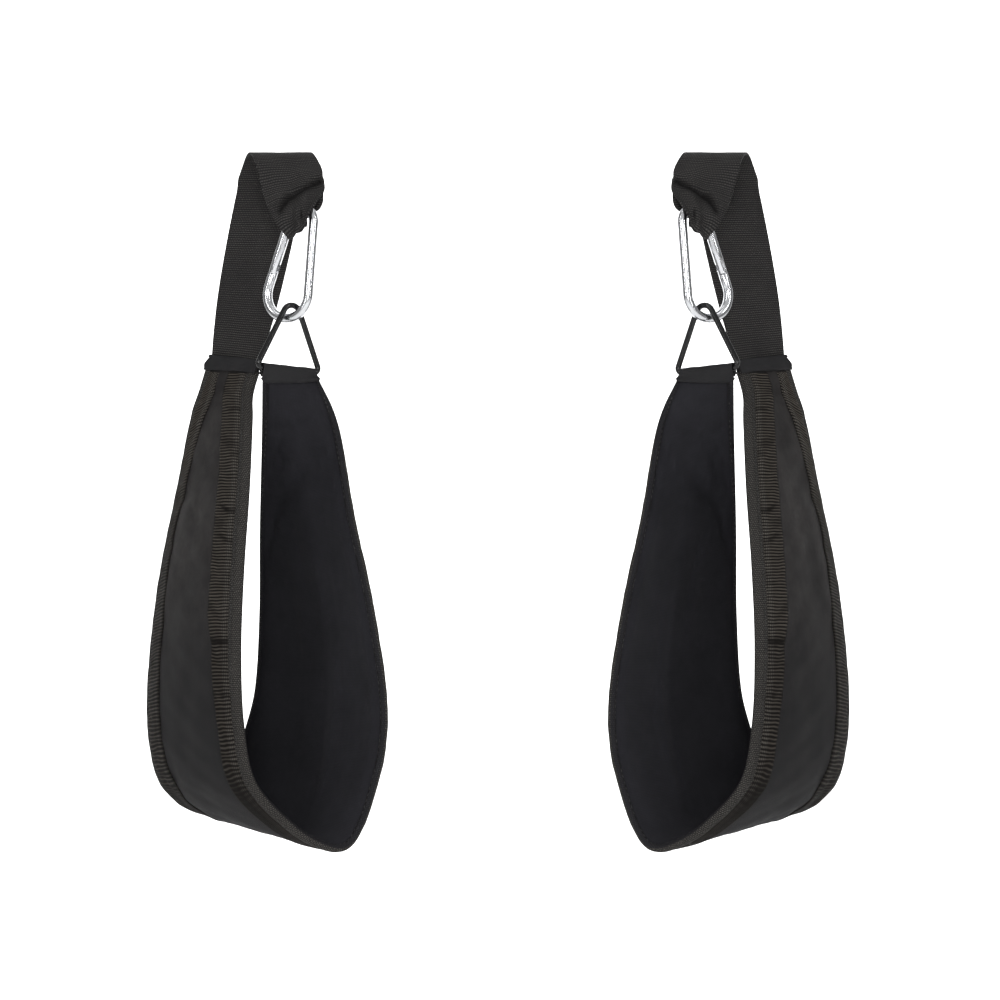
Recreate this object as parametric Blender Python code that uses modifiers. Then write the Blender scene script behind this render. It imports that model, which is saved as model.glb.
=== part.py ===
"""A matched pair of hanging ab straps.

Each strap is a padded arm sling. One length of webbing runs from the sling's outer end up behind a
round bar, over it and down to the eye of a snap hook. The snap hook carries a triangular ring, which is
sewn into the sling's inner end. The second strap is the mirror image of the first.

World frame: metres, +Z up, +X along the bar, the viewer on the -Y side, and the origin on the bar's axis
midway between the straps. Each strap is worked out in its own outboard frame, whose +X points away from
the other strap, and is then placed with its side, -1 for the left strap and +1 for the right one.
"""

import math

import bmesh
import bpy
from mathutils import Matrix, Vector

# Bar and spacing
BAR_DIAMETER = 0.0366
STRAP_SPACING = 0.3216
FIT_GAP = 0.0003

# Webbing that goes round the bar
WEBBING_WIDTH = 0.050
WEBBING_THICKNESS = 0.0018
WEBBING_SEWN_LENGTH = 0.040
WEBBING_EYE_WIDTH = 0.0085
WEBBING_COLUMNS = (0.0, 0.2, 0.5, 0.8, 1.0)
REAR_SHIFT = 0.011
FRONT_SHIFT = 0.007
REAR_DROP = 0.35
REAR_STEPS = 5
REAR_TWIST_POWER = 1.5
FRONT_ANGLE = math.radians(155.0)
FRONT_STEPS = 9
EYE_WRAP_DEGREES = (45, 75, 105, 135, 160)

# Folds of the webbing in front of the bar, as its outboard and inboard edges from the top of the eye
FOLD_ROWS = (
    ((0.0337, 0.0016, 0.0248), (-0.0125, 0.0011, 0.0248)),
    ((0.0310, -0.0010, 0.0138), (-0.0146, -0.0028, 0.0138)),
    ((0.0270, -0.0045, 0.0020), (-0.0098, -0.0096, 0.0020)),
    ((0.0208, -0.0064, -0.0115), (-0.0058, -0.0106, -0.0075)),
    ((0.0135, -0.0075, -0.0208), (-0.0031, -0.0107, -0.0130)),
    ((0.0117, -0.0058, -0.0234), (-0.0031, -0.0090, -0.0148)),
    ((0.0107, -0.0041, -0.0215), (-0.0025, -0.0073, -0.0136)),
    ((0.0084, -0.0036, -0.0120), (-0.0020, -0.0064, -0.0095)),
)
TAIL_ROWS = (
    ((0.0060, 0.0084, 0.0030), (-0.0105, 0.0036, -0.0010)),
    ((0.0120, 0.0078, 0.0085), (-0.0130, 0.0046, 0.0050)),
    ((0.0185, 0.0055, 0.0145), (-0.0135, 0.0042, 0.0145)),
    ((0.0240, 0.0031, 0.0220), (-0.0138, 0.0028, 0.0220)),
)

# Snap hook, a bent wire with a sprung gate
HOOK_LENGTH = 0.090
HOOK_WIRE = 0.0072
HOOK_WIDE_END = 0.0438
HOOK_SMALL_END = 0.0286
HOOK_INBOARD = 0.0181
HOOK_BELOW_BAR = 0.0052
HOOK_BEFORE_BAR = 0.0046
HOOK_TILT = math.radians(11.3)
HOOK_TURN = math.radians(30.0)
HOOK_LEAN = math.radians(4.0)
GATE_LENGTH = 0.0350
HINGE_FROM_EYE = 0.0046
TONGUE_THICKNESS = 0.0026
RIVET_DIAMETER = 0.0024
LATCH_PIN_DIAMETER = 0.0020
SPRING_BORE = 0.0042
SPRING_DIAMETER = 0.0034
SPRING_WIRE = 0.0005
SPRING_LENGTH = 0.0085
SPRING_TURNS = 5
PLUNGER_LENGTH = 0.0030
SLOT_RUN = 0.0005
TONGUE_SHOULDER = 0.0006
CUT_MARGIN = 0.0010
LATCH_PLAY = 0.0001
LATCH_PIN_SHARE = 0.97
GATE_EDGE = 0.0004
GATE_CAP_STEPS = 6
WIRE_END_DEGREES = (4, 25, 45, 67)
COIL_POINTS = 9

# Triangular ring
RING_WIRE = 0.0045
RING_WIDTH = 0.0490
RING_HEIGHT = 0.0482
RING_CORNER_RADIUS = 0.0036
RING_APEX_RADIUS = 0.0070
RING_TURN = math.radians(32.0)
RING_SLOPE = math.radians(4.0)
RING_LEAN = (-0.06, 0.037)
RING_SLACK = 0.0038
RING_APEX_SHIFT = (-0.0034, -0.0019)

# Padded sling
SLING_SPAN = 0.100
SLING_DROP = 0.350
BAND_DEPTH = 0.123
INNER_END_WIDTH = 0.043
PANEL_CROWN = 0.0100
FLOOR_CROWN = 0.0030
SHELL_THICKNESS = 0.0008
PADDING_THICKNESS = 0.0030
LINING_THICKNESS = 0.0010
BINDING_WIDTH = 0.0090
BINDING_INNER_WIDTH = 0.0055
BINDING_THICKNESS = 0.0008
RIBBED_BAND_WIDTH = 0.0240
RIBBED_BAND_THICKNESS = 0.0012
KEEPER_THICKNESS = 0.0010
KEEPER_ARCH_STEPS = 6
BAND_CLEARANCE = 0.0010
END_COVER_HEIGHT = 0.012
END_COVER_THICKNESS = 0.0010

# Rims of the sling, from the outer end round the bottom to the inner end. Each row gives a point of the
# near rim and a point of the far rim: across the sling in shares of SLING_SPAN from the ring's middle,
# in depth in shares of BAND_DEPTH from the bar's axis, and down in shares of SLING_DROP from the ring.
RIM_ROWS = (
    ((0.237, -0.03, -0.017), (0.638, 0.27, -0.036)),
    ((0.296, -0.09, 0.045), (0.722, 0.31, 0.037)),
    ((0.288, -0.20, 0.106), (0.800, 0.37, 0.100)),
    ((0.284, -0.36, 0.253), (0.900, 0.44, 0.252)),
    ((0.312, -0.46, 0.419), (1.015, 0.49, 0.428)),
    ((0.320, -0.50, 0.584), (1.092, 0.50, 0.604)),
    ((0.290, -0.50, 0.739), (1.117, 0.50, 0.757)),
    ((0.138, -0.50, 0.858), (1.055, 0.50, 0.868)),
    ((-0.129, -0.50, 0.945), (0.925, 0.50, 0.918)),
    ((-0.309, -0.49, 0.985), (0.790, 0.49, 0.941)),
    ((-0.450, -0.49, 0.986), (0.675, 0.49, 0.940)),
    ((-0.550, -0.49, 0.943), (0.560, 0.49, 0.917)),
    ((-0.630, -0.49, 0.872), (0.455, 0.49, 0.870)),
    ((-0.700, -0.50, 0.781), (0.365, 0.49, 0.795)),
    ((-0.702, -0.50, 0.667), (0.318, 0.49, 0.688)),
    ((-0.600, -0.47, 0.481), (0.272, 0.46, 0.525)),
    ((-0.470, -0.34, 0.305), (0.265, 0.33, 0.338)),
    ((-0.335, -0.12, 0.115), (0.243, 0.02, 0.130)),
)
ROWS_PER_STEP = 2
END_ROWS = 4
KEEPER_ROWS = 1
BAND_END_ROWS = 1
SIDES = (("left", -1), ("right", 1))

FINISHES = {
    "webbing": ((0.030, 0.029, 0.030), 0.80, 0.0),
    "zinc_steel": ((0.78, 0.79, 0.80), 0.22, 1.0),
    "spring_steel": ((0.45, 0.46, 0.47), 0.35, 1.0),
    "black_steel": ((0.012, 0.012, 0.013), 0.35, 0.0),
    "outer_cloth": ((0.045, 0.042, 0.040), 0.85, 0.0),
    "ribbed_band": ((0.035, 0.032, 0.029), 0.80, 0.0),
    "binding_tape": ((0.070, 0.068, 0.066), 0.85, 0.0),
    "foam": ((0.20, 0.20, 0.20), 0.90, 0.0),
    "lining": ((0.010, 0.010, 0.012), 0.95, 0.0),
}

BAR_RADIUS = BAR_DIAMETER / 2
WEBBING_PATH_RADIUS = BAR_RADIUS + FIT_GAP + WEBBING_THICKNESS / 2
WIRE_RADIUS = HOOK_WIRE / 2
EYE_RADIUS = (HOOK_SMALL_END - HOOK_WIRE) / 2
BOW_RADIUS = (HOOK_WIDE_END - HOOK_WIRE) / 2
EYE_TO_BOW = HOOK_LENGTH - (HOOK_SMALL_END + HOOK_WIDE_END) / 2
LEG_ANGLE = math.asin((BOW_RADIUS - EYE_RADIUS) / EYE_TO_BOW)
SLOT_WIDTH = TONGUE_THICKNESS + 2 * FIT_GAP
SLOT_DEPTH = WIRE_RADIUS + SLOT_RUN
CUT_REACH = WIRE_RADIUS * 1.2
EYE_OPENING = EYE_RADIUS - WIRE_RADIUS
EYE_SAG = EYE_OPENING - math.sqrt(EYE_OPENING ** 2 - (WEBBING_EYE_WIDTH / 2) ** 2)
SHELL_OFFSET = PADDING_THICKNESS / 2 + FIT_GAP + SHELL_THICKNESS / 2
LINING_OFFSET = PADDING_THICKNESS / 2 + FIT_GAP + LINING_THICKNESS / 2
BINDING_OFFSET = SHELL_OFFSET + SHELL_THICKNESS / 2 + 2 * FIT_GAP + BINDING_THICKNESS / 2
BAND_OFFSET = SHELL_OFFSET + SHELL_THICKNESS / 2 + 2 * FIT_GAP + RIBBED_BAND_THICKNESS / 2
COVER_OFFSET = BAND_OFFSET + RIBBED_BAND_THICKNESS / 2 + 2 * FIT_GAP + END_COVER_THICKNESS / 2
KEEPER_OFFSET = BAND_OFFSET + RIBBED_BAND_THICKNESS / 2 + 2 * FIT_GAP + KEEPER_THICKNESS / 2
EDGE_INSET = BINDING_THICKNESS + 2 * FIT_GAP


def clear_scene():
    for old in list(bpy.data.objects):
        bpy.data.objects.remove(old, do_unlink=True)


def new_collection(name):
    collection = bpy.data.collections.new(name)
    bpy.context.scene.collection.children.link(collection)
    return collection


def make_finish(name):
    colour, roughness, metallic = FINISHES[name]
    finish = bpy.data.materials.new(name)
    finish.use_nodes = True
    shader = finish.node_tree.nodes["Principled BSDF"]
    shader.inputs["Base Color"].default_value = (*colour, 1.0)
    shader.inputs["Roughness"].default_value = roughness
    shader.inputs["Metallic"].default_value = metallic
    return finish


def add_object(name, mesh, parent=None, finish=None):
    obj = bpy.data.objects.new(name, mesh)
    if finish is None:
        CUTTERS.objects.link(obj)
        obj.hide_render = True
        obj.display_type = "WIRE"
    else:
        PARTS.objects.link(obj)
        mesh.materials.clear()
        mesh.materials.append(MATERIALS[finish])
        mesh.shade_smooth()
    obj.parent = parent
    return obj


def add_axis(name, matrix, parent=None):
    """An empty on a joint's axis, which carries the pieces that turn about it."""
    empty = bpy.data.objects.new(name, None)
    PARTS.objects.link(empty)
    empty.parent = parent
    empty.matrix_local = matrix
    return empty


def placed(side, frame):
    """The outboard frame's matrix for this side: the left strap's is mirrored at both ends."""
    mirror = Matrix.Diagonal((side, 1, 1, 1))
    return mirror @ frame @ mirror


def frame_from(origin, x_axis, z_axis):
    z = z_axis.normalized()
    x = (x_axis - x_axis.dot(z) * z).normalized()
    y = z.cross(x)
    rotation = Matrix((x, y, z)).transposed().to_4x4()
    return Matrix.Translation(origin) @ rotation


def boolean(obj, cutter, operation="DIFFERENCE"):
    cut = obj.modifiers.new("Cut", "BOOLEAN")
    cut.object = cutter
    cut.operation = operation
    cut.solver = "EXACT"


def add_box(name, low, high, parent):
    bm = bmesh.new()
    bmesh.ops.create_cube(bm, size=1.0)
    size = Vector(high) - Vector(low)
    middle = (Vector(high) + Vector(low)) / 2
    bmesh.ops.transform(bm, matrix=Matrix.Translation(middle) @ Matrix.Diagonal((*size, 1)), verts=bm.verts)
    mesh = bpy.data.meshes.new(name)
    bm.to_mesh(mesh)
    bm.free()
    return add_object(name, mesh, parent)


def rod_mesh(name, radius, low, high, axis, centre=(0, 0), sides=16):
    """A round rod from low to high along Y or Z, centred on the other two coordinates."""
    bm = bmesh.new()
    bmesh.ops.create_cone(bm, cap_ends=True, segments=sides, radius1=radius, radius2=radius, depth=high - low)
    middle = (low + high) / 2
    if axis == "Y":
        move = Matrix.Translation((centre[0], middle, centre[1])) @ Matrix.Rotation(math.pi / 2, 4, "X")
    else:
        move = Matrix.Translation((centre[0], centre[1], middle))
    bmesh.ops.transform(bm, matrix=move, verts=bm.verts)
    mesh = bpy.data.meshes.new(name)
    bm.to_mesh(mesh)
    bm.free()
    return mesh


def wire_mesh(name, points, radius, resolution, shares=None, closed=False):
    """A round wire along the points, as a mesh whose end caps are welded on."""
    curve = bpy.data.curves.new(name, "CURVE")
    curve.dimensions = "3D"
    curve.bevel_depth = radius
    curve.bevel_resolution = resolution
    curve.use_fill_caps = True
    spline = curve.splines.new("POLY")
    spline.points.add(len(points) - 1)
    for i, point in enumerate(points):
        spline.points[i].co = (*point, 1.0)
        spline.points[i].radius = 1.0 if shares is None else shares[i]
    spline.use_cyclic_u = closed
    guide = bpy.data.objects.new(name + "_guide", curve)
    CUTTERS.objects.link(guide)
    bpy.context.view_layer.update()
    mesh = bpy.data.meshes.new_from_object(guide.evaluated_get(bpy.context.evaluated_depsgraph_get()))
    mesh.name = name
    bpy.data.objects.remove(guide, do_unlink=True)
    bm = bmesh.new()
    bm.from_mesh(mesh)
    bmesh.ops.remove_doubles(bm, verts=bm.verts, dist=0.00001)
    bm.to_mesh(mesh)
    bm.free()
    return mesh


def arc_points(centre, radius, start, end, steps):
    """Points on an arc in the XZ plane, by angles from +X towards +Z."""
    points = []
    for i in range(steps + 1):
        angle = start + (end - start) * i / steps
        points.append(Vector((centre[0] + radius * math.cos(angle), 0, centre[1] + radius * math.sin(angle))))
    return points


def smooth_rows(rows, per_step, end_per_step):
    """A Catmull-Rom curve through rows of points, with per_step rows for each given one but the last."""
    def blend(before, start, end, after, t):
        return 0.5 * (2 * start + (end - before) * t + (2 * before - 5 * start + 4 * end - after) * t ** 2
                      + (3 * start - before - 3 * end + after) * t ** 3)

    smooth = []
    last = len(rows) - 1
    for i in range(last):
        steps = per_step if i < last - 1 else end_per_step
        near = [rows[k] for k in (max(i - 1, 0), i, i + 1, min(i + 2, last))]
        for j in range(steps):
            smooth.append([blend(*column, j / steps) for column in zip(*near)])
    smooth.append(list(rows[-1]))
    return smooth


def sheet_object(name, side, rows, thickness, finish, turned_rows=(), turned_columns=()):
    """Cloth of one thickness whose middle surface runs through the rows, given in the outboard frame.

    Layers that lie on each other share their diagonals, so the rows or columns of a sheet that runs back
    the other way over the layers have theirs turned.
    """
    bm = bmesh.new()
    grid = [[bm.verts.new((side * p.x, p.y, p.z)) for p in row] for row in rows]
    for i, (upper, lower) in enumerate(zip(grid, grid[1:])):
        for j, (a, b, c, d) in enumerate(zip(upper, lower, lower[1:], upper[1:])):
            turned = i in turned_rows or j in turned_columns
            for corners in ((a, b, d), (b, c, d)) if turned else ((a, b, c), (a, c, d)):
                bm.faces.new(corners if side > 0 else corners[::-1])
    mesh = bpy.data.meshes.new(name)
    bm.to_mesh(mesh)
    bm.free()
    obj = add_object(name, mesh, None, finish)
    solid = obj.modifiers.new("Thickness", "SOLIDIFY")
    solid.thickness = thickness
    solid.offset = 0.0
    solid.use_even_offset = False
    return obj


class Layout:
    """Where the hook, the ring and the sling of one strap lie, in the outboard frame."""

    def __init__(self):
        middle = STRAP_SPACING / 2
        eye_top = Vector((middle - HOOK_INBOARD, -(BAR_RADIUS + HOOK_BEFORE_BAR), -(BAR_RADIUS + HOOK_BELOW_BAR)))
        down = Vector((math.sin(HOOK_TILT), math.tan(HOOK_LEAN), -math.cos(HOOK_TILT))).normalized()
        across = Vector((math.cos(HOOK_TURN), math.sin(HOOK_TURN), 0))
        self.middle = middle
        self.hook = frame_from(eye_top + down * EYE_RADIUS, across, -down)
        bow = self.hook @ Vector((0, 0, -EYE_TO_BOW))
        ring_across = Vector((math.cos(RING_TURN) * math.cos(RING_SLOPE),
                              -math.sin(RING_TURN) * math.cos(RING_SLOPE), math.sin(RING_SLOPE)))
        ring_up = Vector((*RING_LEAN, 1.0))
        ring_up = (ring_up - ring_up.dot(ring_across) * ring_across).normalized()
        rest = BOW_RADIUS - WIRE_RADIUS - RING_WIRE / 2 - RING_SLACK
        apex = bow + Vector((*RING_APEX_SHIFT, -rest))
        self.ring = frame_from(apex - RING_HEIGHT * ring_up, ring_across, ring_up)
        self.ring_across = ring_across
        self.ring_up = ring_up
        self.rims = self.sling_rims()
        self.grid = self.sling_grid()

    def sling_rims(self):
        base = self.ring.translation
        rows = []
        for near, far in RIM_ROWS:
            rows.append([Vector((base.x + point[0] * SLING_SPAN, point[1] * BAND_DEPTH,
                                 base.z - point[2] * SLING_DROP)) for point in (near, far)])
        below = base - self.ring_up * (RING_WIRE / 2 + KEEPER_THICKNESS + 2 * FIT_GAP)
        half = INNER_END_WIDTH / 2 * self.ring_across
        rows.append([below - half, below + half])
        return smooth_rows(rows, ROWS_PER_STEP, END_ROWS)

    def surface(self, row, share):
        """A point of the padding's middle surface: the ruled surface between the rims, crowned outwards."""
        near, far = self.rims[row]
        along = (self.rims[min(row + 1, len(self.rims) - 1)][0] - self.rims[max(row - 1, 0)][0]
                 + self.rims[min(row + 1, len(self.rims) - 1)][1] - self.rims[max(row - 1, 0)][1])
        outward = along.cross(far - near).normalized()
        place = row / (len(self.rims) - 1)
        on_panel = math.sin(2 * math.pi * place) ** 2
        on_floor = math.sin(math.pi * place) ** 2 * (1 - on_panel)
        crown = PANEL_CROWN * on_panel + FLOOR_CROWN * on_floor
        return near.lerp(far, share) + outward * crown * (1 - abs(2 * share - 1) ** 3)

    def sling_grid(self):
        """For each row, the columns that all layers share: (distance from the near rim, point, normal)."""
        grid = []
        last = len(self.rims) - 1
        for row, (near, far) in enumerate(self.rims):
            width = (far - near).length
            band = min(RIBBED_BAND_WIDTH, width / 2 - BINDING_WIDTH - BAND_CLEARANCE)
            half = [EDGE_INSET, BINDING_WIDTH, BINDING_WIDTH + band, width / 2]
            distances = half + [width - distance for distance in half[-2::-1]]
            columns = []
            step = 0.02
            for distance in distances:
                share = distance / width
                across = self.surface(row, share + step) - self.surface(row, share - step)
                along = self.surface(min(row + 1, last), share) - self.surface(max(row - 1, 0), share)
                columns.append((distance, self.surface(row, share), along.cross(across).normalized()))
            grid.append(columns)
        return grid

    def width(self, row):
        return (self.rims[row][1] - self.rims[row][0]).length

    def layer_point(self, row, distance, height):
        """A point at a distance from the near rim and a height outwards from the padding's middle."""
        columns = self.grid[row]
        index = 0
        while index < len(columns) - 2 and distance > columns[index + 1][0]:
            index += 1
        first, second = columns[index], columns[index + 1]
        share = (distance - first[0]) / (second[0] - first[0])
        low = first[1] + first[2] * height
        high = second[1] + second[2] * height
        return low + (high - low) * share


def build_strap(label, side):
    layout = Layout()
    build_sling(label, side, layout)
    build_webbing(label, side, layout)
    hook_axis = add_axis(label + "_hook_axis", placed(side, layout.hook))
    build_hook(label, side, hook_axis)
    ring_axis = add_axis(label + "_ring_axis", placed(side, layout.ring))
    build_ring(label, ring_axis)


def build_sling(label, side, layout):
    count = len(layout.grid)
    rows = range(count)
    sewn = sewn_row(layout)
    layers = (("sling_shell", SHELL_OFFSET, SHELL_THICKNESS, "outer_cloth", rows),
              ("sling_padding", 0.0, PADDING_THICKNESS, "foam", range(sewn + 1, count)),
              ("sling_lining", -LINING_OFFSET, LINING_THICKNESS, "lining", rows))
    for name, height, thickness, finish, span in layers:
        points = [[point + normal * height for distance, point, normal in layout.grid[row]] for row in span]
        sheet_object(label + "_" + name, side, points, thickness, finish)
    for name, from_far in (("near", False), ("far", True)):
        band = []
        for row in range(BAND_END_ROWS, count - BAND_END_ROWS):
            inner = layout.grid[row][2][0] - FIT_GAP
            edges = [BINDING_WIDTH + BINDING_THICKNESS, inner]
            band.append(strip_row(layout, row, edges, [BAND_OFFSET, BAND_OFFSET], from_far))
        sheet_object(f"{label}_{name}_ribbed_band", side, band, RIBBED_BAND_THICKNESS, "ribbed_band")
        tape = []
        turn = BINDING_THICKNESS / 2
        round_off = EDGE_INSET + BINDING_THICKNESS
        lower = LINING_OFFSET + LINING_THICKNESS / 2 + 3 * FIT_GAP + turn
        distances = [BINDING_WIDTH - FIT_GAP, round_off, turn, turn, round_off, BINDING_INNER_WIDTH]
        heights = [BINDING_OFFSET, BINDING_OFFSET, BINDING_OFFSET - turn, turn - lower, -lower, -lower]
        for row in range(count):
            tape.append(strip_row(layout, row, distances, heights, from_far))
        outer_face = (3, 4) if from_far else (0, 1)
        sheet_object(f"{label}_{name}_binding", side, tape, BINDING_THICKNESS, "binding_tape",
                     turned_columns=outer_face)
    build_end_cover(label, side, layout)
    build_keeper(label, side, layout)


def row_distance(layout, row):
    """How far a row lies from the sling's outer end, along its middle."""
    middles = [near.lerp(far, 0.5) for near, far in layout.rims[:row + 1]]
    return sum((b - a).length for a, b in zip(middles, middles[1:]))


def sewn_row(layout):
    """The first row past the stretch of webbing that is sewn into the sling."""
    return next(row for row in range(len(layout.grid)) if row_distance(layout, row) > WEBBING_SEWN_LENGTH)


def strip_row(layout, row, distances, heights, from_far):
    """One row of a strip beside a rim, in the same order of faces for both rims."""
    if from_far:
        distances = [layout.width(row) - distance for distance in distances][::-1]
        heights = heights[::-1]
    return [layout.layer_point(row, distance, height) for distance, height in zip(distances, heights)]


def build_end_cover(label, side, layout):
    rows = []
    for row in (0, 1):
        width = layout.width(row)
        shares = (0.0, 0.25, 0.5, 0.75, 1.0)
        rows.append([layout.layer_point(row, width * share, COVER_OFFSET) for share in shares])
    reach = END_COVER_HEIGHT / (rows[1][2] - rows[0][2]).length
    rows[1] = [upper.lerp(lower, reach) for upper, lower in zip(*rows)]
    sheet_object(label + "_end_cover", side, rows, END_COVER_THICKNESS, "outer_cloth")


def build_keeper(label, side, layout):
    """Cloth that runs up the outer face, over the ring's base and down the inner face."""
    last = len(layout.grid) - 1
    normal = layout.ring.col[1].to_3d()
    rows = [keeper_row(layout, row, KEEPER_OFFSET) for row in range(last - KEEPER_ROWS, last + 1)]
    arch_radius = RING_WIRE / 2 + FIT_GAP + KEEPER_THICKNESS / 2
    width = layout.width(last)
    for i in range(KEEPER_ARCH_STEPS + 1):
        angle = math.pi * i / KEEPER_ARCH_STEPS
        lift = arch_radius * (math.cos(angle) * normal + math.sin(angle) * layout.ring_up)
        rows.append([layout.ring.translation + layout.ring_across * (distance - width / 2) + lift
                     for distance in keeper_distances(layout, last)])
    inner_leg = len(rows)
    rows += [keeper_row(layout, row, -KEEPER_OFFSET) for row in range(last, last - KEEPER_ROWS - 1, -1)]
    sheet_object(label + "_ring_keeper", side, rows, KEEPER_THICKNESS, "lining",
                 turned_rows=range(inner_leg, len(rows)))


def keeper_distances(layout, row):
    return [0.0] + [column[0] for column in layout.grid[row][1:-1]] + [layout.width(row)]


def keeper_row(layout, row, height):
    return [layout.layer_point(row, distance, height) for distance in keeper_distances(layout, row)]


def build_webbing(label, side, layout):
    """The webbing as rows of points, from its sewn end up over the bar to the tail behind the hook's eye."""
    height = SHELL_OFFSET - (SHELL_THICKNESS + WEBBING_THICKNESS) / 2 - 2 * FIT_GAP
    last = sewn_row(layout)
    points = []
    for row in range(last, -1, -1):
        width = layout.width(row)
        inset = (width - WEBBING_WIDTH) / 2
        spread = [width - inset, width - BINDING_WIDTH, width / 2, BINDING_WIDTH, inset]
        points.append([layout.layer_point(row, distance, height) for distance in spread])
    middle = layout.middle
    half = WEBBING_WIDTH / 2
    back = WEBBING_PATH_RADIUS
    rows = []
    start = (points[-1][0] + points[-1][-1]) / 2
    start_half = (points[-1][0] - points[-1][-1]) / 2
    goal = Vector((middle + REAR_SHIFT, back, -REAR_DROP * BAR_RADIUS))
    for step in range(1, REAR_STEPS + 1):
        share = step / REAR_STEPS
        turned = 1 - (1 - share) ** REAR_TWIST_POWER
        centre = start.lerp(goal, share)
        along = start_half.lerp(Vector((half, 0, 0)), turned).normalized() * half
        rows.append([centre + along, centre - along])
    for i in range(FRONT_STEPS + 1):
        angle = FRONT_ANGLE * i / FRONT_STEPS
        rear = REAR_SHIFT * max(1 - angle / (math.pi / 2), 0.0)
        front = FRONT_SHIFT * max(angle - math.pi / 2, 0.0) / (FRONT_ANGLE - math.pi / 2)
        rows.append([Vector((middle + rear - front + sign * half, back * math.cos(angle), back * math.sin(angle)))
                     for sign in (1, -1)])
    eye = layout.hook @ Vector((0, 0, EYE_RADIUS))
    for outboard, inboard in FOLD_ROWS:
        rows.append([eye + Vector(outboard), eye + Vector(inboard)])
    pull = WIRE_RADIUS + WEBBING_THICKNESS / 2 + FIT_GAP + EYE_SAG
    for degrees in EYE_WRAP_DEGREES:
        angle = math.radians(degrees)
        rows.append([layout.hook @ Vector((sign * WEBBING_EYE_WIDTH / 2, -pull * math.cos(angle),
                                           EYE_RADIUS - pull * math.sin(angle))) for sign in (1, -1)])
    for outboard, inboard in TAIL_ROWS:
        rows.append([eye + Vector(outboard), eye + Vector(inboard)])
    for edge_a, edge_b in rows:
        points.append([edge_a.lerp(edge_b, share) for share in WEBBING_COLUMNS])
    sheet_object(label + "_bar_strap", side, points, WEBBING_THICKNESS, "webbing")


def hook_leg(distance):
    """A point on the gate's leg, by its distance from where the leg leaves the eye's arc.

    The hook's frame has its origin at the eye's centre, +X outboard and +Z away from the bow.
    """
    outward = Vector((math.cos(LEG_ANGLE), 0, math.sin(LEG_ANGLE)))
    along = Vector((math.sin(LEG_ANGLE), 0, -math.cos(LEG_ANGLE)))
    return EYE_RADIUS * outward + along * distance


def round_end(tip, inwards, radius):
    """Points and radius shares of a rounded wire end whose round part is centred on tip."""
    points, shares = [], []
    for angle in WIRE_END_DEGREES:
        turn = math.radians(angle)
        points.append(tip - inwards * radius * math.cos(turn))
        shares.append(math.sin(turn))
    return points + [tip], shares + [1.0]


def build_hook(label, side, hook_axis):
    mirror = Matrix.Diagonal((side, 1, 1))
    along = (hook_leg(1.0) - hook_leg(0.0)).normalized()
    hinge = hook_leg(HINGE_FROM_EYE)
    latch = hook_leg(HINGE_FROM_EYE + GATE_LENGTH)
    eye = (0, 0)
    bow = (0, -EYE_TO_BOW)
    start_points, start_shares = round_end(hinge, -along, WIRE_RADIUS)
    end_points, end_shares = round_end(latch, along, WIRE_RADIUS)
    path = start_points + arc_points(eye, EYE_RADIUS, LEG_ANGLE, math.pi - LEG_ANGLE, 12)
    path += arc_points(bow, BOW_RADIUS, math.pi - LEG_ANGLE, 2 * math.pi + LEG_ANGLE, 20)
    path += end_points[::-1]
    shares = start_shares + [1.0] * (len(path) - len(start_shares) - len(end_shares)) + end_shares[::-1]
    mesh = wire_mesh(label + "_carabiner_body", [mirror @ p for p in path], WIRE_RADIUS, 4, shares)
    body = add_object(label + "_carabiner_body", mesh, hook_axis, "zinc_steel")

    gate_axis = add_axis(label + "_gate_axis", placed(side, frame_from(hinge, Vector((1, 0, 0)), -along)), hook_axis)
    shoulder = WIRE_RADIUS + TONGUE_SHOULDER
    past = WIRE_RADIUS + CUT_MARGIN
    half = TONGUE_THICKNESS / 2
    reach = CUT_REACH
    for number, (low, high) in enumerate(((-past, shoulder), (-GATE_LENGTH - shoulder, -GATE_LENGTH + past))):
        for face in (1, -1):
            inner, outer = sorted((face * half, face * reach))
            boolean(body, add_box(f"{label}_tongue_cut_{number}_{face}", (-reach, inner, low),
                                  (reach, outer, high), gate_axis))
    rivet_hole = rod_mesh(label + "_rivet_hole", RIVET_DIAMETER / 2 + FIT_GAP, -reach, reach, "Y")
    boolean(body, add_object(label + "_rivet_hole", rivet_hole, gate_axis))
    notch = LATCH_PIN_DIAMETER / 2 + FIT_GAP + LATCH_PLAY
    inward = sorted((side * -reach, 0.0))
    boolean(body, add_box(label + "_latch_notch", (inward[0], -reach, -GATE_LENGTH - notch),
                          (inward[1], reach, -GATE_LENGTH + notch), gate_axis))
    latch_seat = rod_mesh(label + "_latch_seat", notch, -reach, reach, "Y", (0, -GATE_LENGTH))
    boolean(body, add_object(label + "_latch_seat", latch_seat, gate_axis))
    build_gate(label, gate_axis)


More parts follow.
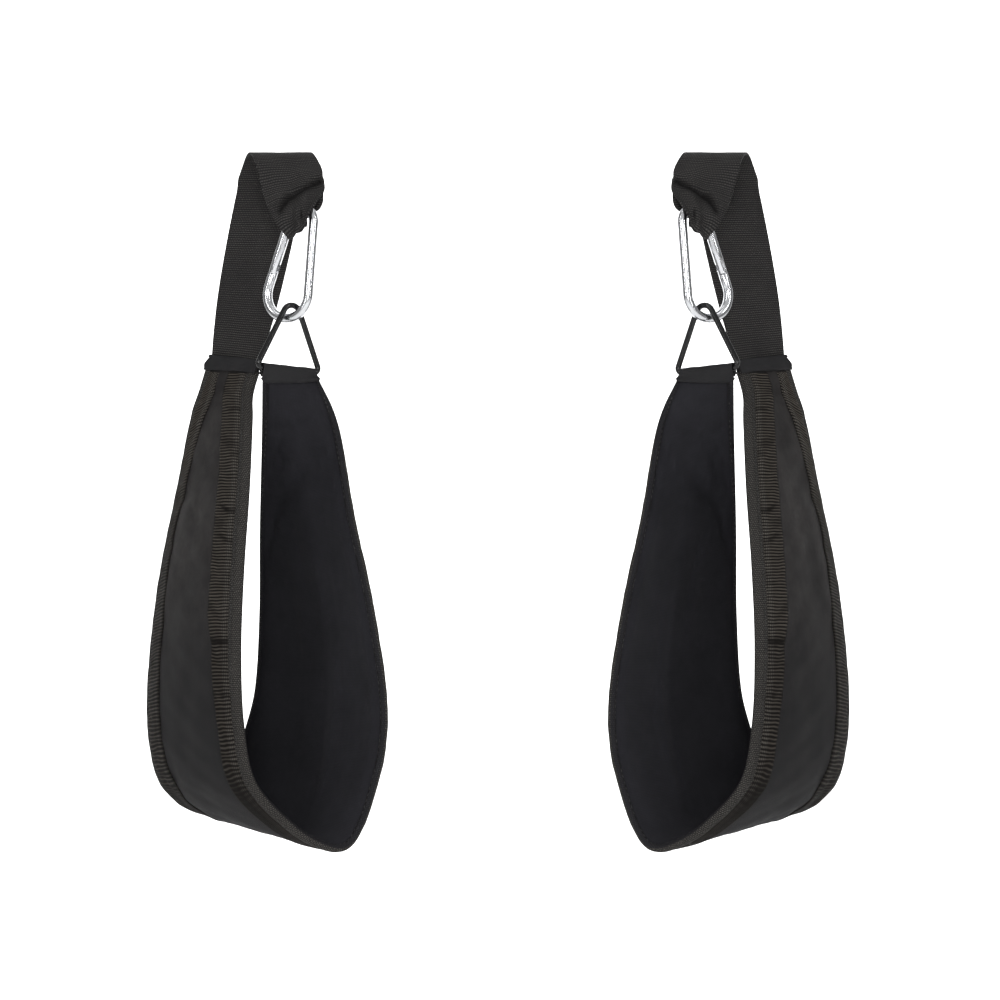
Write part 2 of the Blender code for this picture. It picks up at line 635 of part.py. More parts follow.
def build_gate(label, gate_axis):
    """The gate, in a frame whose origin is the rivet's middle, +Y the rivet and -Z the free end."""
    reach = CUT_REACH
    end = -GATE_LENGTH - WIRE_RADIUS
    profile = [(0.0, WIRE_RADIUS)]
    for step in range(1, GATE_CAP_STEPS):
        angle = math.pi / 2 * (1 - step / GATE_CAP_STEPS)
        profile.append((WIRE_RADIUS * math.cos(angle), WIRE_RADIUS * math.sin(angle)))
    profile += [(WIRE_RADIUS, 0.0), (WIRE_RADIUS, end + GATE_EDGE), (WIRE_RADIUS - GATE_EDGE, end), (0.0, end)]
    mesh = bpy.data.meshes.new(label + "_carabiner_gate")
    edges = [(i, i + 1) for i in range(len(profile) - 1)]
    mesh.from_pydata([(x, 0, z) for x, z in profile], edges, [])
    gate = add_object(label + "_carabiner_gate", mesh, gate_axis, "zinc_steel")
    turn = gate.modifiers.new("Turned", "SCREW")
    turn.steps = turn.render_steps = 16
    turn.use_merge_vertices = True
    turn.merge_threshold = 0.00001
    slot = SLOT_WIDTH / 2
    boolean(gate, add_box(label + "_hinge_slot", (-reach, -slot, -SLOT_DEPTH), (reach, slot, reach), gate_axis))
    boolean(gate, add_box(label + "_latch_slot", (-reach, -slot, end - CUT_MARGIN),
                          (reach, slot, -GATE_LENGTH + SLOT_DEPTH), gate_axis))
    holes = (("rivet_bore", RIVET_DIAMETER / 2 + FIT_GAP, 0.0),
             ("latch_bore", LATCH_PIN_DIAMETER / 2 + FIT_GAP, -GATE_LENGTH))
    for name, radius, height in holes:
        hole = rod_mesh(f"{label}_{name}", radius, -reach, reach, "Y", (0, height))
        boolean(gate, add_object(f"{label}_{name}", hole, gate_axis))
    plunger_top = -WIRE_RADIUS - FIT_GAP
    spring_top = plunger_top - PLUNGER_LENGTH - FIT_GAP - SPRING_WIRE / 2
    bore_end = spring_top - SPRING_LENGTH - SPRING_WIRE / 2 - FIT_GAP
    bore = rod_mesh(label + "_spring_bore", SPRING_BORE / 2, bore_end, -SLOT_DEPTH + CUT_MARGIN, "Z")
    boolean(gate, add_object(label + "_spring_bore", bore, gate_axis))

    rivet = rod_mesh(label + "_gate_rivet", RIVET_DIAMETER / 2, -WIRE_RADIUS, WIRE_RADIUS, "Y")
    add_object(label + "_gate_rivet", rivet, gate_axis, "zinc_steel")
    pin_length = WIRE_RADIUS * LATCH_PIN_SHARE
    pin = rod_mesh(label + "_gate_latch_pin", LATCH_PIN_DIAMETER / 2, -pin_length, pin_length, "Y",
                   (0, -GATE_LENGTH))
    add_object(label + "_gate_latch_pin", pin, gate_axis, "zinc_steel")
    plunger = rod_mesh(label + "_gate_plunger", SPRING_DIAMETER / 2, plunger_top - PLUNGER_LENGTH, plunger_top,
                       "Z", sides=12)
    add_object(label + "_gate_plunger", plunger, gate_axis, "spring_steel")
    coil = []
    count = SPRING_TURNS * COIL_POINTS
    radius = (SPRING_DIAMETER - SPRING_WIRE) / 2
    for i in range(count + 1):
        angle = 2 * math.pi * i / COIL_POINTS
        height = spring_top - SPRING_LENGTH * i / count
        coil.append((radius * math.cos(angle), radius * math.sin(angle), height))
    spring = wire_mesh(label + "_gate_spring", coil, SPRING_WIRE / 2, 1)
    add_object(label + "_gate_spring", spring, gate_axis, "spring_steel")


def build_ring(label, ring_axis):
    """The ring, in a frame whose origin is the middle of its base and +Z points to the apex."""
    corner = Vector((RING_WIDTH / 2 - RING_CORNER_RADIUS, RING_CORNER_RADIUS))
    apex = Vector((0, RING_HEIGHT - RING_APEX_RADIUS))
    line = apex - corner
    lean = math.atan2(line.y, line.x) - math.acos((RING_CORNER_RADIUS - RING_APEX_RADIUS) / line.length)
    points = arc_points(apex, RING_APEX_RADIUS, lean, math.pi - lean, 8)
    points += arc_points((-corner.x, corner.y), RING_CORNER_RADIUS, math.pi - lean, 1.5 * math.pi, 5)
    points += arc_points(corner, RING_CORNER_RADIUS, 1.5 * math.pi, 2 * math.pi + lean, 5)
    mesh = wire_mesh(label + "_triangle_ring", points, RING_WIRE / 2, 3, closed=True)
    add_object(label + "_triangle_ring", mesh, ring_axis, "black_steel")


clear_scene()
PARTS = new_collection("ab_strap_pair")
CUTTERS = new_collection("cutters")
MATERIALS = {name: make_finish(name) for name in FINISHES}
for strap_label, strap_side in SIDES:
    build_strap(strap_label, strap_side)
bpy.context.view_layer.update()
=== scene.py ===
"""Detailed view of the pair of hanging ab straps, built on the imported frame.

Metres, +Z up, the viewer on the -Y side. Each strap is worked out in its own outboard frame, whose +X points
away from the other strap, and is then placed with its side, -1 for the left strap and +1 for the right one.
"""

from math import acos, asin, atan2, cos, pi, radians, sin, sqrt, tan

import bmesh
import bpy
import numpy as np
from mathutils import Matrix, Vector


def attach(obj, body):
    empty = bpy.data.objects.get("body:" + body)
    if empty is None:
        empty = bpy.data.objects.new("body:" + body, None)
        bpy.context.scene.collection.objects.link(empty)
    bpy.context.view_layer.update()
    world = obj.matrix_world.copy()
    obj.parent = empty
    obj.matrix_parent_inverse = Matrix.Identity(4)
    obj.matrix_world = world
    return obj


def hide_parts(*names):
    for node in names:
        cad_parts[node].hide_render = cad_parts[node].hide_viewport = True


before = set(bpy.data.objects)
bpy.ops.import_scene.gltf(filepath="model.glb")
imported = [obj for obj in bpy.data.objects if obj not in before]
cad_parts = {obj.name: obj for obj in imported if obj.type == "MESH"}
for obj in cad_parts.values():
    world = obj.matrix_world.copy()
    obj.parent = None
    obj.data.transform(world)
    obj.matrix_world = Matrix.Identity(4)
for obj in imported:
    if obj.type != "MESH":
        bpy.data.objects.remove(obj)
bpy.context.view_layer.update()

SIDES = {"left": -1, "right": 1}

BAR_RADIUS = 0.0183
STRAP_SPACING = 0.3216
FIT_GAP = 0.0003
WEBBING_WIDTH = 0.05
WEBBING_THICKNESS = 0.0018
WEBBING_EYE_WIDTH = 0.0085
WEBBING_PATH_RADIUS = BAR_RADIUS + FIT_GAP + WEBBING_THICKNESS / 2
REAR_SHIFT = 0.011
FRONT_SHIFT = 0.007
REAR_DROP = 0.35
REAR_STEPS = 10
REAR_TWIST_POWER = 1.5
FRONT_ANGLE = radians(155.0)
# Outboard and inboard edge of the front fold, from the top of the hook's eye, and its pleats' depth
FOLD_ROWS = (
    ((0.0326, 0.0004, 0.0195), (-0.0132, 0.0013, 0.0275)),
    ((0.0300, -0.0020, 0.0105), (-0.0138, 0.0000, 0.0215)),
    ((0.0258, -0.0050, -0.0010), (-0.0146, -0.0036, 0.0130)),
    ((0.0200, -0.0066, -0.0125), (-0.0086, -0.0096, 0.0024)),
    ((0.0132, -0.0075, -0.0210), (-0.0034, -0.0106, -0.0060)),
    ((0.0117, -0.0058, -0.0234), (-0.0012, -0.0098, -0.0132)),
    ((0.0107, -0.0041, -0.0215), (-0.0025, -0.0073, -0.0136)),
    ((0.0084, -0.0036, -0.0120), (-0.0020, -0.0064, -0.0095)),
)
FOLD_PLEATS = (0.0006, 0.0013, 0.0022, 0.0026, 0.0016, 0.0006, 0.0008, 0.001)
# The same for the tail behind the eye
TAIL_ROWS = (
    ((0.0060, 0.0084, 0.0030), (-0.0105, 0.0036, -0.0010)),
    ((0.0120, 0.0078, 0.0085), (-0.0130, 0.0046, 0.0050)),
    ((0.0185, 0.0055, 0.0145), (-0.0135, 0.0042, 0.0145)),
    ((0.0240, 0.0031, 0.0220), (-0.0138, 0.0028, 0.0220)),
)
TAIL_PLEATS = (0.0012, 0.0016, 0.0012, 0.0006)
# Distances into the sling at which the sewn end has a row
SEWN_PLACES = (0.034, 0.026, 0.018, 0.01, 0.0)
WEBBING_SMOOTHING = 5
# The webbing's main crease in front, as x and z from the top of the hook's eye, and the rows it lies in
VALLEY = ((0.0172, -0.0030), (0.0120, 0.0055), (0.0054, 0.0092), (-0.0013, 0.0136), (-0.0108, 0.0188))
FRONT_ROWS = (26.0, 38.5)

HOOK_LENGTH = 0.09
HOOK_WIRE = 0.0072
HOOK_WIDE_END = 0.0438
HOOK_SMALL_END = 0.0286
HOOK_INBOARD = 0.0181
HOOK_BELOW_BAR = 0.0052
HOOK_BEFORE_BAR = 0.0046
HOOK_TILT = radians(11.3)
HOOK_TURN = radians(30.0)
HOOK_LEAN = radians(4.0)
GATE_LENGTH = 0.035
HINGE_FROM_EYE = 0.0046
TONGUE_THICKNESS = 0.0026
RIVET_DIAMETER = 0.0024
LATCH_PIN_DIAMETER = 0.002

RING_WIRE = 0.0045
RING_WIDTH = 0.049
RING_HEIGHT = 0.0482
RING_CORNER_RADIUS = 0.0036
RING_APEX_RADIUS = 0.007
RING_TURN = radians(32.0)
RING_SLOPE = radians(4.0)
RING_SLACK = 0.0038

SLING_SPAN = 0.1
SLING_DROP = 0.35
BAND_DEPTH = 0.123
INNER_END_WIDTH = 0.043
# The near corner's distance from the middle of the ring's base, in half widths
NEAR_CORNER_REACH = 1.22
PANEL_CROWN = 0.01
FLOOR_CROWN = 0.003
SHELL_THICKNESS = 0.0008
PADDING_THICKNESS = 0.003
LINING_THICKNESS = 0.001
BINDING_WIDTH = 0.0084
BINDING_THICKNESS = 0.0008
BINDING_INNER_WIDTH = 0.004
RIM_FOAM = 0.0002
RIM_TAPER = 0.015
RIM_INSET = 0.0016
GATHERED_THICKNESS = 0.0008
GATHERED_RISE = 0.00095
# Where the near band is caught by its seam: place, spread along the rim, depth, share of the width
PINCHES = ((1.85, 0.07, 0.55, 0.3), (2.55, 0.04, 0.45, 0.1), (3.25, 0.035, 0.75, 0.4),
           (3.63, 0.035, 0.5, 0.5), (4.2, 0.03, 0.4, 0.1), (4.85, 0.045, 0.85, 0.8), (5.6, 0.03, 0.6, 0.3))
KEEPER_THICKNESS = 0.001
COVER_THICKNESS = 0.001
COVER_VISIBLE_HEIGHT = 0.0096
STITCH_PITCH = 0.0042
STITCH_LENGTH = 0.0031
STITCH_RADIUS = 0.00024
SWELL_CAP = 0.0018
SWELL_FRAMES = 20
# Near rim and far rim: share of the span beside the ring's base, of the depth, and of the drop below it
RIM_ROWS = (
    ((0.222, -0.03, -0.017), (0.628, 0.27, -0.036)),
    ((0.280, -0.09, 0.045), (0.704, 0.31, 0.037)),
    ((0.272, -0.20, 0.106), (0.772, 0.37, 0.100)),
    ((0.276, -0.36, 0.253), (0.880, 0.44, 0.252)),
    ((0.304, -0.46, 0.419), (1.010, 0.49, 0.428)),
    ((0.320, -0.50, 0.584), (1.092, 0.50, 0.604)),
    ((0.300, -0.50, 0.739), (1.117, 0.50, 0.757)),
    ((0.210, -0.50, 0.860), (1.055, 0.50, 0.872)),
    ((-0.068, -0.50, 0.946), (0.925, 0.50, 0.923)),
    ((-0.290, -0.49, 0.983), (0.790, 0.49, 0.945)),
    ((-0.458, -0.49, 0.988), (0.675, 0.49, 0.943)),
    ((-0.562, -0.49, 0.945), (0.562, 0.49, 0.919)),
    ((-0.645, -0.49, 0.874), (0.460, 0.49, 0.872)),
    ((-0.716, -0.50, 0.781), (0.404, 0.49, 0.795)),
    ((-0.716, -0.50, 0.667), (0.312, 0.49, 0.688)),
    ((-0.612, -0.47, 0.481), (0.274, 0.46, 0.525)),
    ((-0.474, -0.34, 0.305), (0.258, 0.33, 0.338)),
    ((-0.354, -0.12, 0.112), (0.218, 0.02, 0.130)),
)

WIRE_RADIUS = HOOK_WIRE / 2
EYE_RADIUS = (HOOK_SMALL_END - HOOK_WIRE) / 2
BOW_RADIUS = (HOOK_WIDE_END - HOOK_WIRE) / 2
EYE_TO_BOW = HOOK_LENGTH - (HOOK_SMALL_END + HOOK_WIDE_END) / 2
LEG_ANGLE = asin((BOW_RADIUS - EYE_RADIUS) / EYE_TO_BOW)
EYE_OPENING = EYE_RADIUS - WIRE_RADIUS
EYE_SAG = EYE_OPENING - sqrt(EYE_OPENING ** 2 - (WEBBING_EYE_WIDTH / 2) ** 2)
CUT_REACH = WIRE_RADIUS * 1.2
ROUND_SIDES = 32
SHELL_OFFSET = PADDING_THICKNESS / 2 + FIT_GAP + SHELL_THICKNESS / 2
LINING_OFFSET = PADDING_THICKNESS / 2 + FIT_GAP + LINING_THICKNESS / 2
SHELL_TOP = SHELL_OFFSET + SHELL_THICKNESS / 2
LINING_TOP = LINING_OFFSET + LINING_THICKNESS / 2

CAMERA_DISTANCE = 2.0
VIEW_WIDTH = 0.746
SENSOR_WIDTH = 36.0
# Name, place, size and watts
LIGHTS = (
    ("left", (-1.6, -1.5, 0.5), (0.12, 1.6), 6.5),
    ("right", (1.6, -1.5, 0.5), (0.12, 1.6), 6.5),
    ("front", (0.0, -2.4, 0.1), (0.8, 0.8), 16.5),
    ("top", (0.0, -0.2, 1.5), (1.8, 1.0), 5.0),
    ("back", (0.0, 1.2, 0.2), (3.0, 2.0), 47.0),
)


# Finishes

SHADER_INPUTS = {"sheen": "Sheen Weight", "specular": "Specular IOR Level", "coat": "Coat Weight"}


class Nodes:
    """A node tree, with short ways to add nodes and to join them."""

    def __init__(self, tree):
        self.tree = tree

    def put(self, value, socket):
        """Gives a socket a value, or links another node's output to it."""
        if isinstance(value, bpy.types.NodeSocket):
            self.tree.links.new(value, socket)
        else:
            socket.default_value = value

    def add(self, kind, inputs, **settings):
        node = self.tree.nodes.new("ShaderNode" + kind)
        for name, value in settings.items():
            setattr(node, name, value)
        for name, value in inputs.items():
            self.put(value, node.inputs[name])
        return node

    def math(self, operation, *values):
        return self.add("Math", dict(enumerate(values)), operation=operation).outputs["Value"]

    def times(self, first, second):
        return self.math("MULTIPLY", first, second)

    def scaled(self, value, factor, shift):
        return self.math("MULTIPLY_ADD", value, factor, shift)

    def map_range(self, value, low, high, start=0.0, end=1.0, interpolation="LINEAR"):
        """Runs from low to high while the value runs from start to end."""
        inputs = {"Value": value, "From Min": start, "From Max": end, "To Min": low, "To Max": high}
        return self.add("MapRange", inputs, interpolation_type=interpolation).outputs["Result"]


class Finish(Nodes):
    """A procedural material. across and along are its UV map in metres."""

    def __init__(self, name):
        self.material = bpy.data.materials.new(name)
        self.material.use_nodes = True
        super().__init__(self.material.node_tree)
        uv = self.add("UVMap", {}, uv_map="metres").outputs["UV"]
        split = self.add("SeparateXYZ", {"Vector": uv}).outputs
        self.across, self.along = split["X"], split["Y"]
        self.place = self.add("TexCoord", {}).outputs["Object"]

    def attribute(self, name):
        return self.add("Attribute", {}, attribute_name=name).outputs["Fac"]

    def noise(self, scale, detail=3.0, roughness=0.55, stretch=None):
        vector = self.place
        if stretch:
            vector = self.add("Mapping", {"Scale": stretch, "Vector": vector}).outputs["Vector"]
        inputs = {"Scale": scale, "Detail": detail, "Roughness": roughness, "Vector": vector}
        return self.add("TexNoise", inputs).outputs["Fac"]

    def wave(self, coordinate, pitch, shift=None):
        """A sine wave from 0 to 1 along a coordinate in metres."""
        phase = self.times(coordinate, 2 * pi / pitch)
        if shift is not None:
            phase = self.math("ADD", phase, shift)
        return self.scaled(self.math("SINE", phase), 0.5, 0.5)

    def weave(self, across, along, float_pitch, row_pitch, share):
        """Rows of floats, each row offset by half a float. share is how far the floats stand out."""
        shift = self.times(self.math("FLOOR", self.math("DIVIDE", along, row_pitch)), pi)
        floats = self.scaled(self.wave(across, float_pitch, shift), share, 1 - share)
        return self.times(self.wave(along, row_pitch), floats)

    def ramp(self, factor, low, high, start=0.0, end=1.0):
        node = self.add("ValToRGB", {"Fac": factor})
        for element, place, colour in zip(node.color_ramp.elements, (start, end), (low, high)):
            element.position = place
            element.color = (*colour, 1.0)
        return node.outputs["Color"]

    def mix(self, factor, first, second):
        """The first colour with the second laid over it, as far as the factor says."""
        first, second = ((*c, 1.0) if isinstance(c, tuple) else c for c in (first, second))
        return self.add("Mix", {0: factor, 6: first, 7: second}, data_type="RGBA").outputs[2]

    def finish(self, colour, coats, bumps, **inputs):
        """The material. A coat is (factor, amount, colour), a bump (height, strength, distance in metres)."""
        shader = self.tree.nodes["Principled BSDF"]
        for factor, amount, coat in coats:
            colour = self.mix(self.times(factor, amount), colour, coat)
        normal = {}
        for height, strength, distance in bumps:
            values = {"Height": height, "Strength": strength, "Distance": distance, **normal}
            normal = {"Normal": self.add("Bump", values).outputs["Normal"]}
        self.put(normal["Normal"], shader.inputs["Normal"])
        self.put(colour, shader.inputs["Base Color"])
        for name, value in inputs.items():
            self.put(value, shader.inputs[SHADER_INPUTS.get(name, name.replace("_", " ").title())])
        return self.material


def webbing_finish():
    """Plain woven nylon: a little fuzz and dust, and a painted shade where the crest attribute marks a fold.
    """
    n = Finish("webbing_weave")
    drift = n.scaled(n.noise(60.0, 2.0), 0.0012, n.along)
    weave = n.weave(n.across, drift, 0.0019, 0.0017, 0.6)
    fuzz = n.noise(1800.0, 2.0)
    patch = n.noise(38.0)
    # The floats are lighter than the gaps between them: partly the weave's own look, partly a painted
    # highlight on the floats' tops.
    base = n.ramp(weave, (0.011, 0.0106, 0.0108), (0.1, 0.096, 0.092), 0.12, 1.0)
    shade = n.scaled(n.noise(26.0, 2.0), 0.9, -0.2)
    dust = n.times(n.math("GREATER_THAN", fuzz, 0.62), weave)
    # The last coat is a painted shade: the crest attribute darkens the front crease and the hollow beside the
    # hook's eye.
    coats = ((shade, 1.0, (0.015, 0.0146, 0.0152)), (dust, 0.5, (0.16, 0.145, 0.12)),
             (patch, 0.35, (0.026, 0.024, 0.025)), (n.attribute("crest"), 0.75, (0.008, 0.0078, 0.008)))
    return n.finish(base, coats, ((weave, 0.85, 0.00035), (fuzz, 0.25, 0.0002), (patch, 0.35, 0.0008)),
                    roughness=n.map_range(patch, 0.62, 0.8), sheen=0.02, sheen_roughness=0.45, specular=0.14)


def cloth_finish(name, low, high, roughness, pitch=0.0007, folds=0.35, mottle=0.0, painted_shade_below_top=None):
    """Fine plain cloth with soft shade changes, dark mottling and a painted shade away from its outer end."""
    n = Finish(name)
    weave = n.times(n.wave(n.across, pitch), n.wave(n.along, pitch))
    patch = n.noise(22.0, 4.0, 0.6)
    streak = n.noise(30.0, 3.0, 0.5, stretch=(1.0, 1.0, 0.22))
    fuzz = n.noise(1500.0, 2.0)
    base = n.ramp(patch, low, high, 0.34, 0.66)
    coats = []
    if mottle:
        cloud = n.scaled(n.noise(48.0, 5.0, 0.72), 2.4 * mottle, -0.75 * mottle)
        coats.append((cloud, 1.0, tuple(value * 0.5 for value in low)))
    # A painted shade: darker from about 0.12 to 0.28 m along from the outer end, and all the way beyond.
    if painted_shade_below_top:
        coats.append((n.map_range(n.along, 0.0, 0.85, 0.12, 0.28, "SMOOTHSTEP"), 1.0, painted_shade_below_top))
    coats.append((weave, 0.25, tuple(value * 1.8 for value in high)))
    return n.finish(base, coats, ((weave, 0.3, 0.00015), (fuzz, 0.18, 0.00012), (streak, folds, 0.0016)),
                    roughness=n.map_range(patch, roughness - 0.07, roughness + 0.07),
                    sheen=0.015, sheen_roughness=0.5, specular=0.1)


def rib_finish():
    """Gathered band, its light and shade painted from the crest attribute: light crests, dark and slightly
    brown valleys, and along the seam a painted shade with dots that take the crests' painted light.
    """
    n = Finish("gathered_ribs")
    shade = n.attribute("crest")
    thread = n.wave(n.across, 0.0012)
    patch = n.noise(45.0)
    fuzz = n.noise(1400.0, 2.0)
    # Painted light and shade: the crest attribute makes the crests light and the valleys dark.
    base = n.ramp(shade, (0.006, 0.0054, 0.0052), (0.094, 0.083, 0.071), 0.22, 0.95)
    edge = n.map_range(n.across, 0.0, 1.0, 0.008, 0.0055)
    dots = n.times(n.wave(n.across, 0.0015), edge)
    # Over random patches: threads brightened on the lit crests, a painted shade on the strip next to the
    # seam, and dots there brightened on the crests as painted light.
    coats = ((patch, 0.3, (0.028, 0.023, 0.019)), (n.times(thread, shade), 0.34, (0.12, 0.11, 0.097)),
             (edge, 0.45, (0.01, 0.009, 0.009)), (n.times(dots, shade), 0.9, (0.15, 0.14, 0.125)))
    return n.finish(base, coats, ((thread, 0.45, 0.0002), (fuzz, 0.25, 0.0002)),
                    roughness=n.map_range(patch, 0.66, 0.82), sheen=0.004, sheen_roughness=0.45,
                    specular=0.05)


def tape_finish():
    """Woven binding tape with a speckle, darker on the inside, where the crest attribute is 1."""
    n = Finish("binding_weave")
    wander = n.noise(420.0, 2.0)
    drift = n.scaled(wander, 0.0016, n.along)
    sway = n.scaled(wander, 0.0011, n.across)
    weave = n.weave(sway, drift, 0.0017, 0.0014, 0.8)
    fuzz = n.noise(1600.0, 2.0)
    patch = n.noise(55.0)
    base = n.ramp(weave, (0.024, 0.023, 0.022), (0.13, 0.122, 0.112), 0.15, 1.0)
    inner = n.ramp(weave, (0.019, 0.0185, 0.0205), (0.036, 0.035, 0.038), 0.1, 1.0)
    coats = ((patch, 0.3, (0.034, 0.032, 0.031)), (n.attribute("crest"), 1.0, inner))
    return n.finish(base, coats, ((weave, 0.8, 0.0003), (fuzz, 0.2, 0.0002)),
                    roughness=n.map_range(patch, 0.7, 0.84), sheen=0.006, sheen_roughness=0.45,
                    specular=0.07)


def zinc_finish():
    """Bright zinc plate with faint draw lines and small handling marks."""
    n = Finish("bright_zinc")
    cloud = n.noise(160.0, 4.0, 0.6)
    marks = n.noise(900.0, 3.0, 0.65, stretch=(1.0, 1.0, 0.15))
    base = n.ramp(cloud, (0.84, 0.85, 0.88), (0.93, 0.94, 0.96), 0.3, 0.75)
    return n.finish(base, (), ((marks, 0.004, 0.00005), (cloud, 0.01, 0.0002)),
                    roughness=n.map_range(cloud, 0.17, 0.21), metallic=1.0)


def coated_finish():
    """Black coated wire with a soft gloss and slight orange peel."""
    n = Finish("black_coating")
    peel = n.noise(700.0, 2.0)
    cloud = n.noise(90.0)
    base = n.ramp(cloud, (0.003, 0.003, 0.0034), (0.0075, 0.0075, 0.0082))
    return n.finish(base, (), ((peel, 0.03, 0.0001),), roughness=n.map_range(cloud, 0.22, 0.32),
                    specular=0.06, coat=1.0, coat_roughness=0.05)


def grain_finish(name, scale, detail, low, high, strength, distance, start=0.0, end=1.0, **inputs):
    """One grain that both colours and roughens a material."""
    n = Finish(name)
    grain = n.noise(scale, detail)
    return n.finish(n.ramp(grain, low, high, start, end), (), ((grain, strength, distance),), **inputs)


FINISHES = {
    "webbing": webbing_finish(),
    # The outer cloth gets a painted shade away from its outer end.
    "outer_cloth": cloth_finish("outer_cloth_plain", (0.024, 0.0222, 0.0225), (0.054, 0.0498, 0.049), 0.74,
                                mottle=0.7, painted_shade_below_top=(0.0125, 0.0125, 0.0138)),
    "lining": cloth_finish("lining_knit", (0.0185, 0.0182, 0.0215), (0.025, 0.0246, 0.029), 0.88,
                           pitch=0.0011, folds=0.8),
    "cover": cloth_finish("cover_cloth", (0.0195, 0.0192, 0.0205), (0.031, 0.0305, 0.032), 0.8,
                          pitch=0.0008, folds=0.5),
    "keeper": cloth_finish("keeper_cloth", (0.0165, 0.0162, 0.0175), (0.029, 0.0285, 0.03), 0.82,
                           pitch=0.0008, folds=0.5),
    "ribbed_band": rib_finish(),
    "binding_tape": tape_finish(),
    "zinc_steel": zinc_finish(),
    "black_steel": coated_finish(),
    "thread": grain_finish("sewing_thread", 2600.0, 1.0, (0.015, 0.0145, 0.015), (0.042, 0.04, 0.039),
                           0.5, 0.0002, roughness=0.6, sheen=0.1),
    "foam": grain_finish("open_foam", 900.0, 2.0, (0.05, 0.05, 0.05), (0.16, 0.16, 0.16), 0.6, 0.0005,
                         start=0.35, end=0.7, roughness=0.95),
}


# Layout in the outboard frame


def frame_from(origin, x_axis, z_axis):
    z = z_axis.normalized()
    x = (x_axis - x_axis.dot(z) * z).normalized()
    y = z.cross(x)
    return Matrix.Translation(origin) @ Matrix((x, y, z)).transposed().to_4x4()


def placed(side, matrix):
    """A frame laid out on the right, mirrored for the left strap."""
    mirror = Matrix.Diagonal((side, 1, 1, 1))
    return mirror @ matrix @ mirror


MIDDLE = STRAP_SPACING / 2
EYE_TOP = Vector((MIDDLE - HOOK_INBOARD, -(BAR_RADIUS + HOOK_BEFORE_BAR), -(BAR_RADIUS + HOOK_BELOW_BAR)))
HOOK_DOWN = Vector((sin(HOOK_TILT), tan(HOOK_LEAN), -cos(HOOK_TILT))).normalized()
HOOK_ACROSS = Vector((cos(HOOK_TURN), sin(HOOK_TURN), 0))
HOOK = frame_from(EYE_TOP + HOOK_DOWN * EYE_RADIUS, HOOK_ACROSS, -HOOK_DOWN)
RING_ACROSS = Vector((cos(RING_TURN) * cos(RING_SLOPE),
                      -sin(RING_TURN) * cos(RING_SLOPE), sin(RING_SLOPE)))
RING_LEAN = Vector((-0.06, 0.037, 1.0))
RING_UP = (RING_LEAN - RING_LEAN.dot(RING_ACROSS) * RING_ACROSS).normalized()
RING_APEX = HOOK @ Vector((0, 0, -EYE_TO_BOW)) + Vector(
    (-0.0034, -0.0019, -(BOW_RADIUS - WIRE_RADIUS - RING_WIRE / 2 - RING_SLACK)))
RING = frame_from(RING_APEX - RING_HEIGHT * RING_UP, RING_ACROSS, RING_UP)


def rim_controls():
    """The two rims' points, from the outer end to the ring's base."""
    base = RING.translation
    rows = [[(base.x + x * SLING_SPAN, y * BAND_DEPTH, base.z - z * SLING_DROP) for x, y, z in row]
            for row in RIM_ROWS]
    below = base - RING_UP * (RING_WIRE / 2 + KEEPER_THICKNESS + 2 * FIT_GAP)
    half = INNER_END_WIDTH / 2 * RING_ACROSS
    rows.append([tuple(below - NEAR_CORNER_REACH * half), tuple(below + half)])
    return np.array(rows)


RIMS = rim_controls()
LAST = len(RIMS) - 1


def unit(vectors):
    return vectors / np.maximum(np.linalg.norm(vectors, axis=-1, keepdims=True), 1e-12)


def smoothstep(values):
    values = np.clip(values, 0, 1)
    return values * values * (3 - 2 * values)


def fade_in(values, start, length):
    return smoothstep((values - start) / length)


def fade_out(values, end, length):
    return smoothstep((end - values) / length)


def bell(values, centre, spread):
    return np.exp(-((values - centre) / spread) ** 2)


def spline_at(rows, s):
    """Smooth points between rows of them, an array of (rows, columns, 3), at each row number in s."""
    last = len(rows) - 1
    i = np.minimum(np.floor(s).astype(int), last - 1)
    t = (s - i)[..., None, None]
    before, start = rows[np.maximum(i - 1, 0)], rows[i]
    end, after = rows[i + 1], rows[np.minimum(i + 2, last)]
    return 0.5 * (2 * start + (end - before) * t + (2 * before - 5 * start + 4 * end - after) * t ** 2
                  + (3 * start - before - 3 * end + after) * t ** 3)


def rims_at(s):
    """Near and far rim at each place s, from 0 at the outer end to LAST at the inner one."""
    return spline_at(RIMS, np.clip(s, 0, LAST - 1e-6))


def middle_surface(s, share):
    rims = rims_at(s)
    near, far = rims[..., 0, :], rims[..., 1, :]
    ahead, behind = rims_at(np.minimum(s + 0.5, LAST)), rims_at(np.maximum(s - 0.5, 0))
    along = (ahead - behind).sum(axis=-2)
    outward = unit(np.cross(along, far - near))
    row = np.where(s <= LAST - 1, 2 * s, 2 * (LAST - 1) + 4 * (s - LAST + 1))
    place = row / (2 * (LAST - 1) + 4)
    on_panel = np.sin(2 * pi * place) ** 2
    on_floor = np.sin(pi * place) ** 2 * (1 - on_panel)
    crown = PANEL_CROWN * on_panel + FLOOR_CROWN * on_floor
    bulge = crown * (1 - np.abs(2 * share - 1) ** 3)
    return near + (far - near) * share[..., None] + outward * bulge[..., None]


def surface_normal(s, share):
    ahead, behind = np.minimum(s + 0.2, LAST), np.maximum(s - 0.2, 0)
    along = middle_surface(ahead, share) - middle_surface(behind, share)
    across = middle_surface(s, share + 0.02) - middle_surface(s, share - 0.02)
    return unit(np.cross(along, across))


def width_at(s):
    rims = rims_at(s)
    return np.linalg.norm(rims[..., 1, :] - rims[..., 0, :], axis=-1)


SWELL_GRID = (150, 26)
SWELL = {"outer": np.zeros(SWELL_GRID), "inner": np.zeros(SWELL_GRID)}


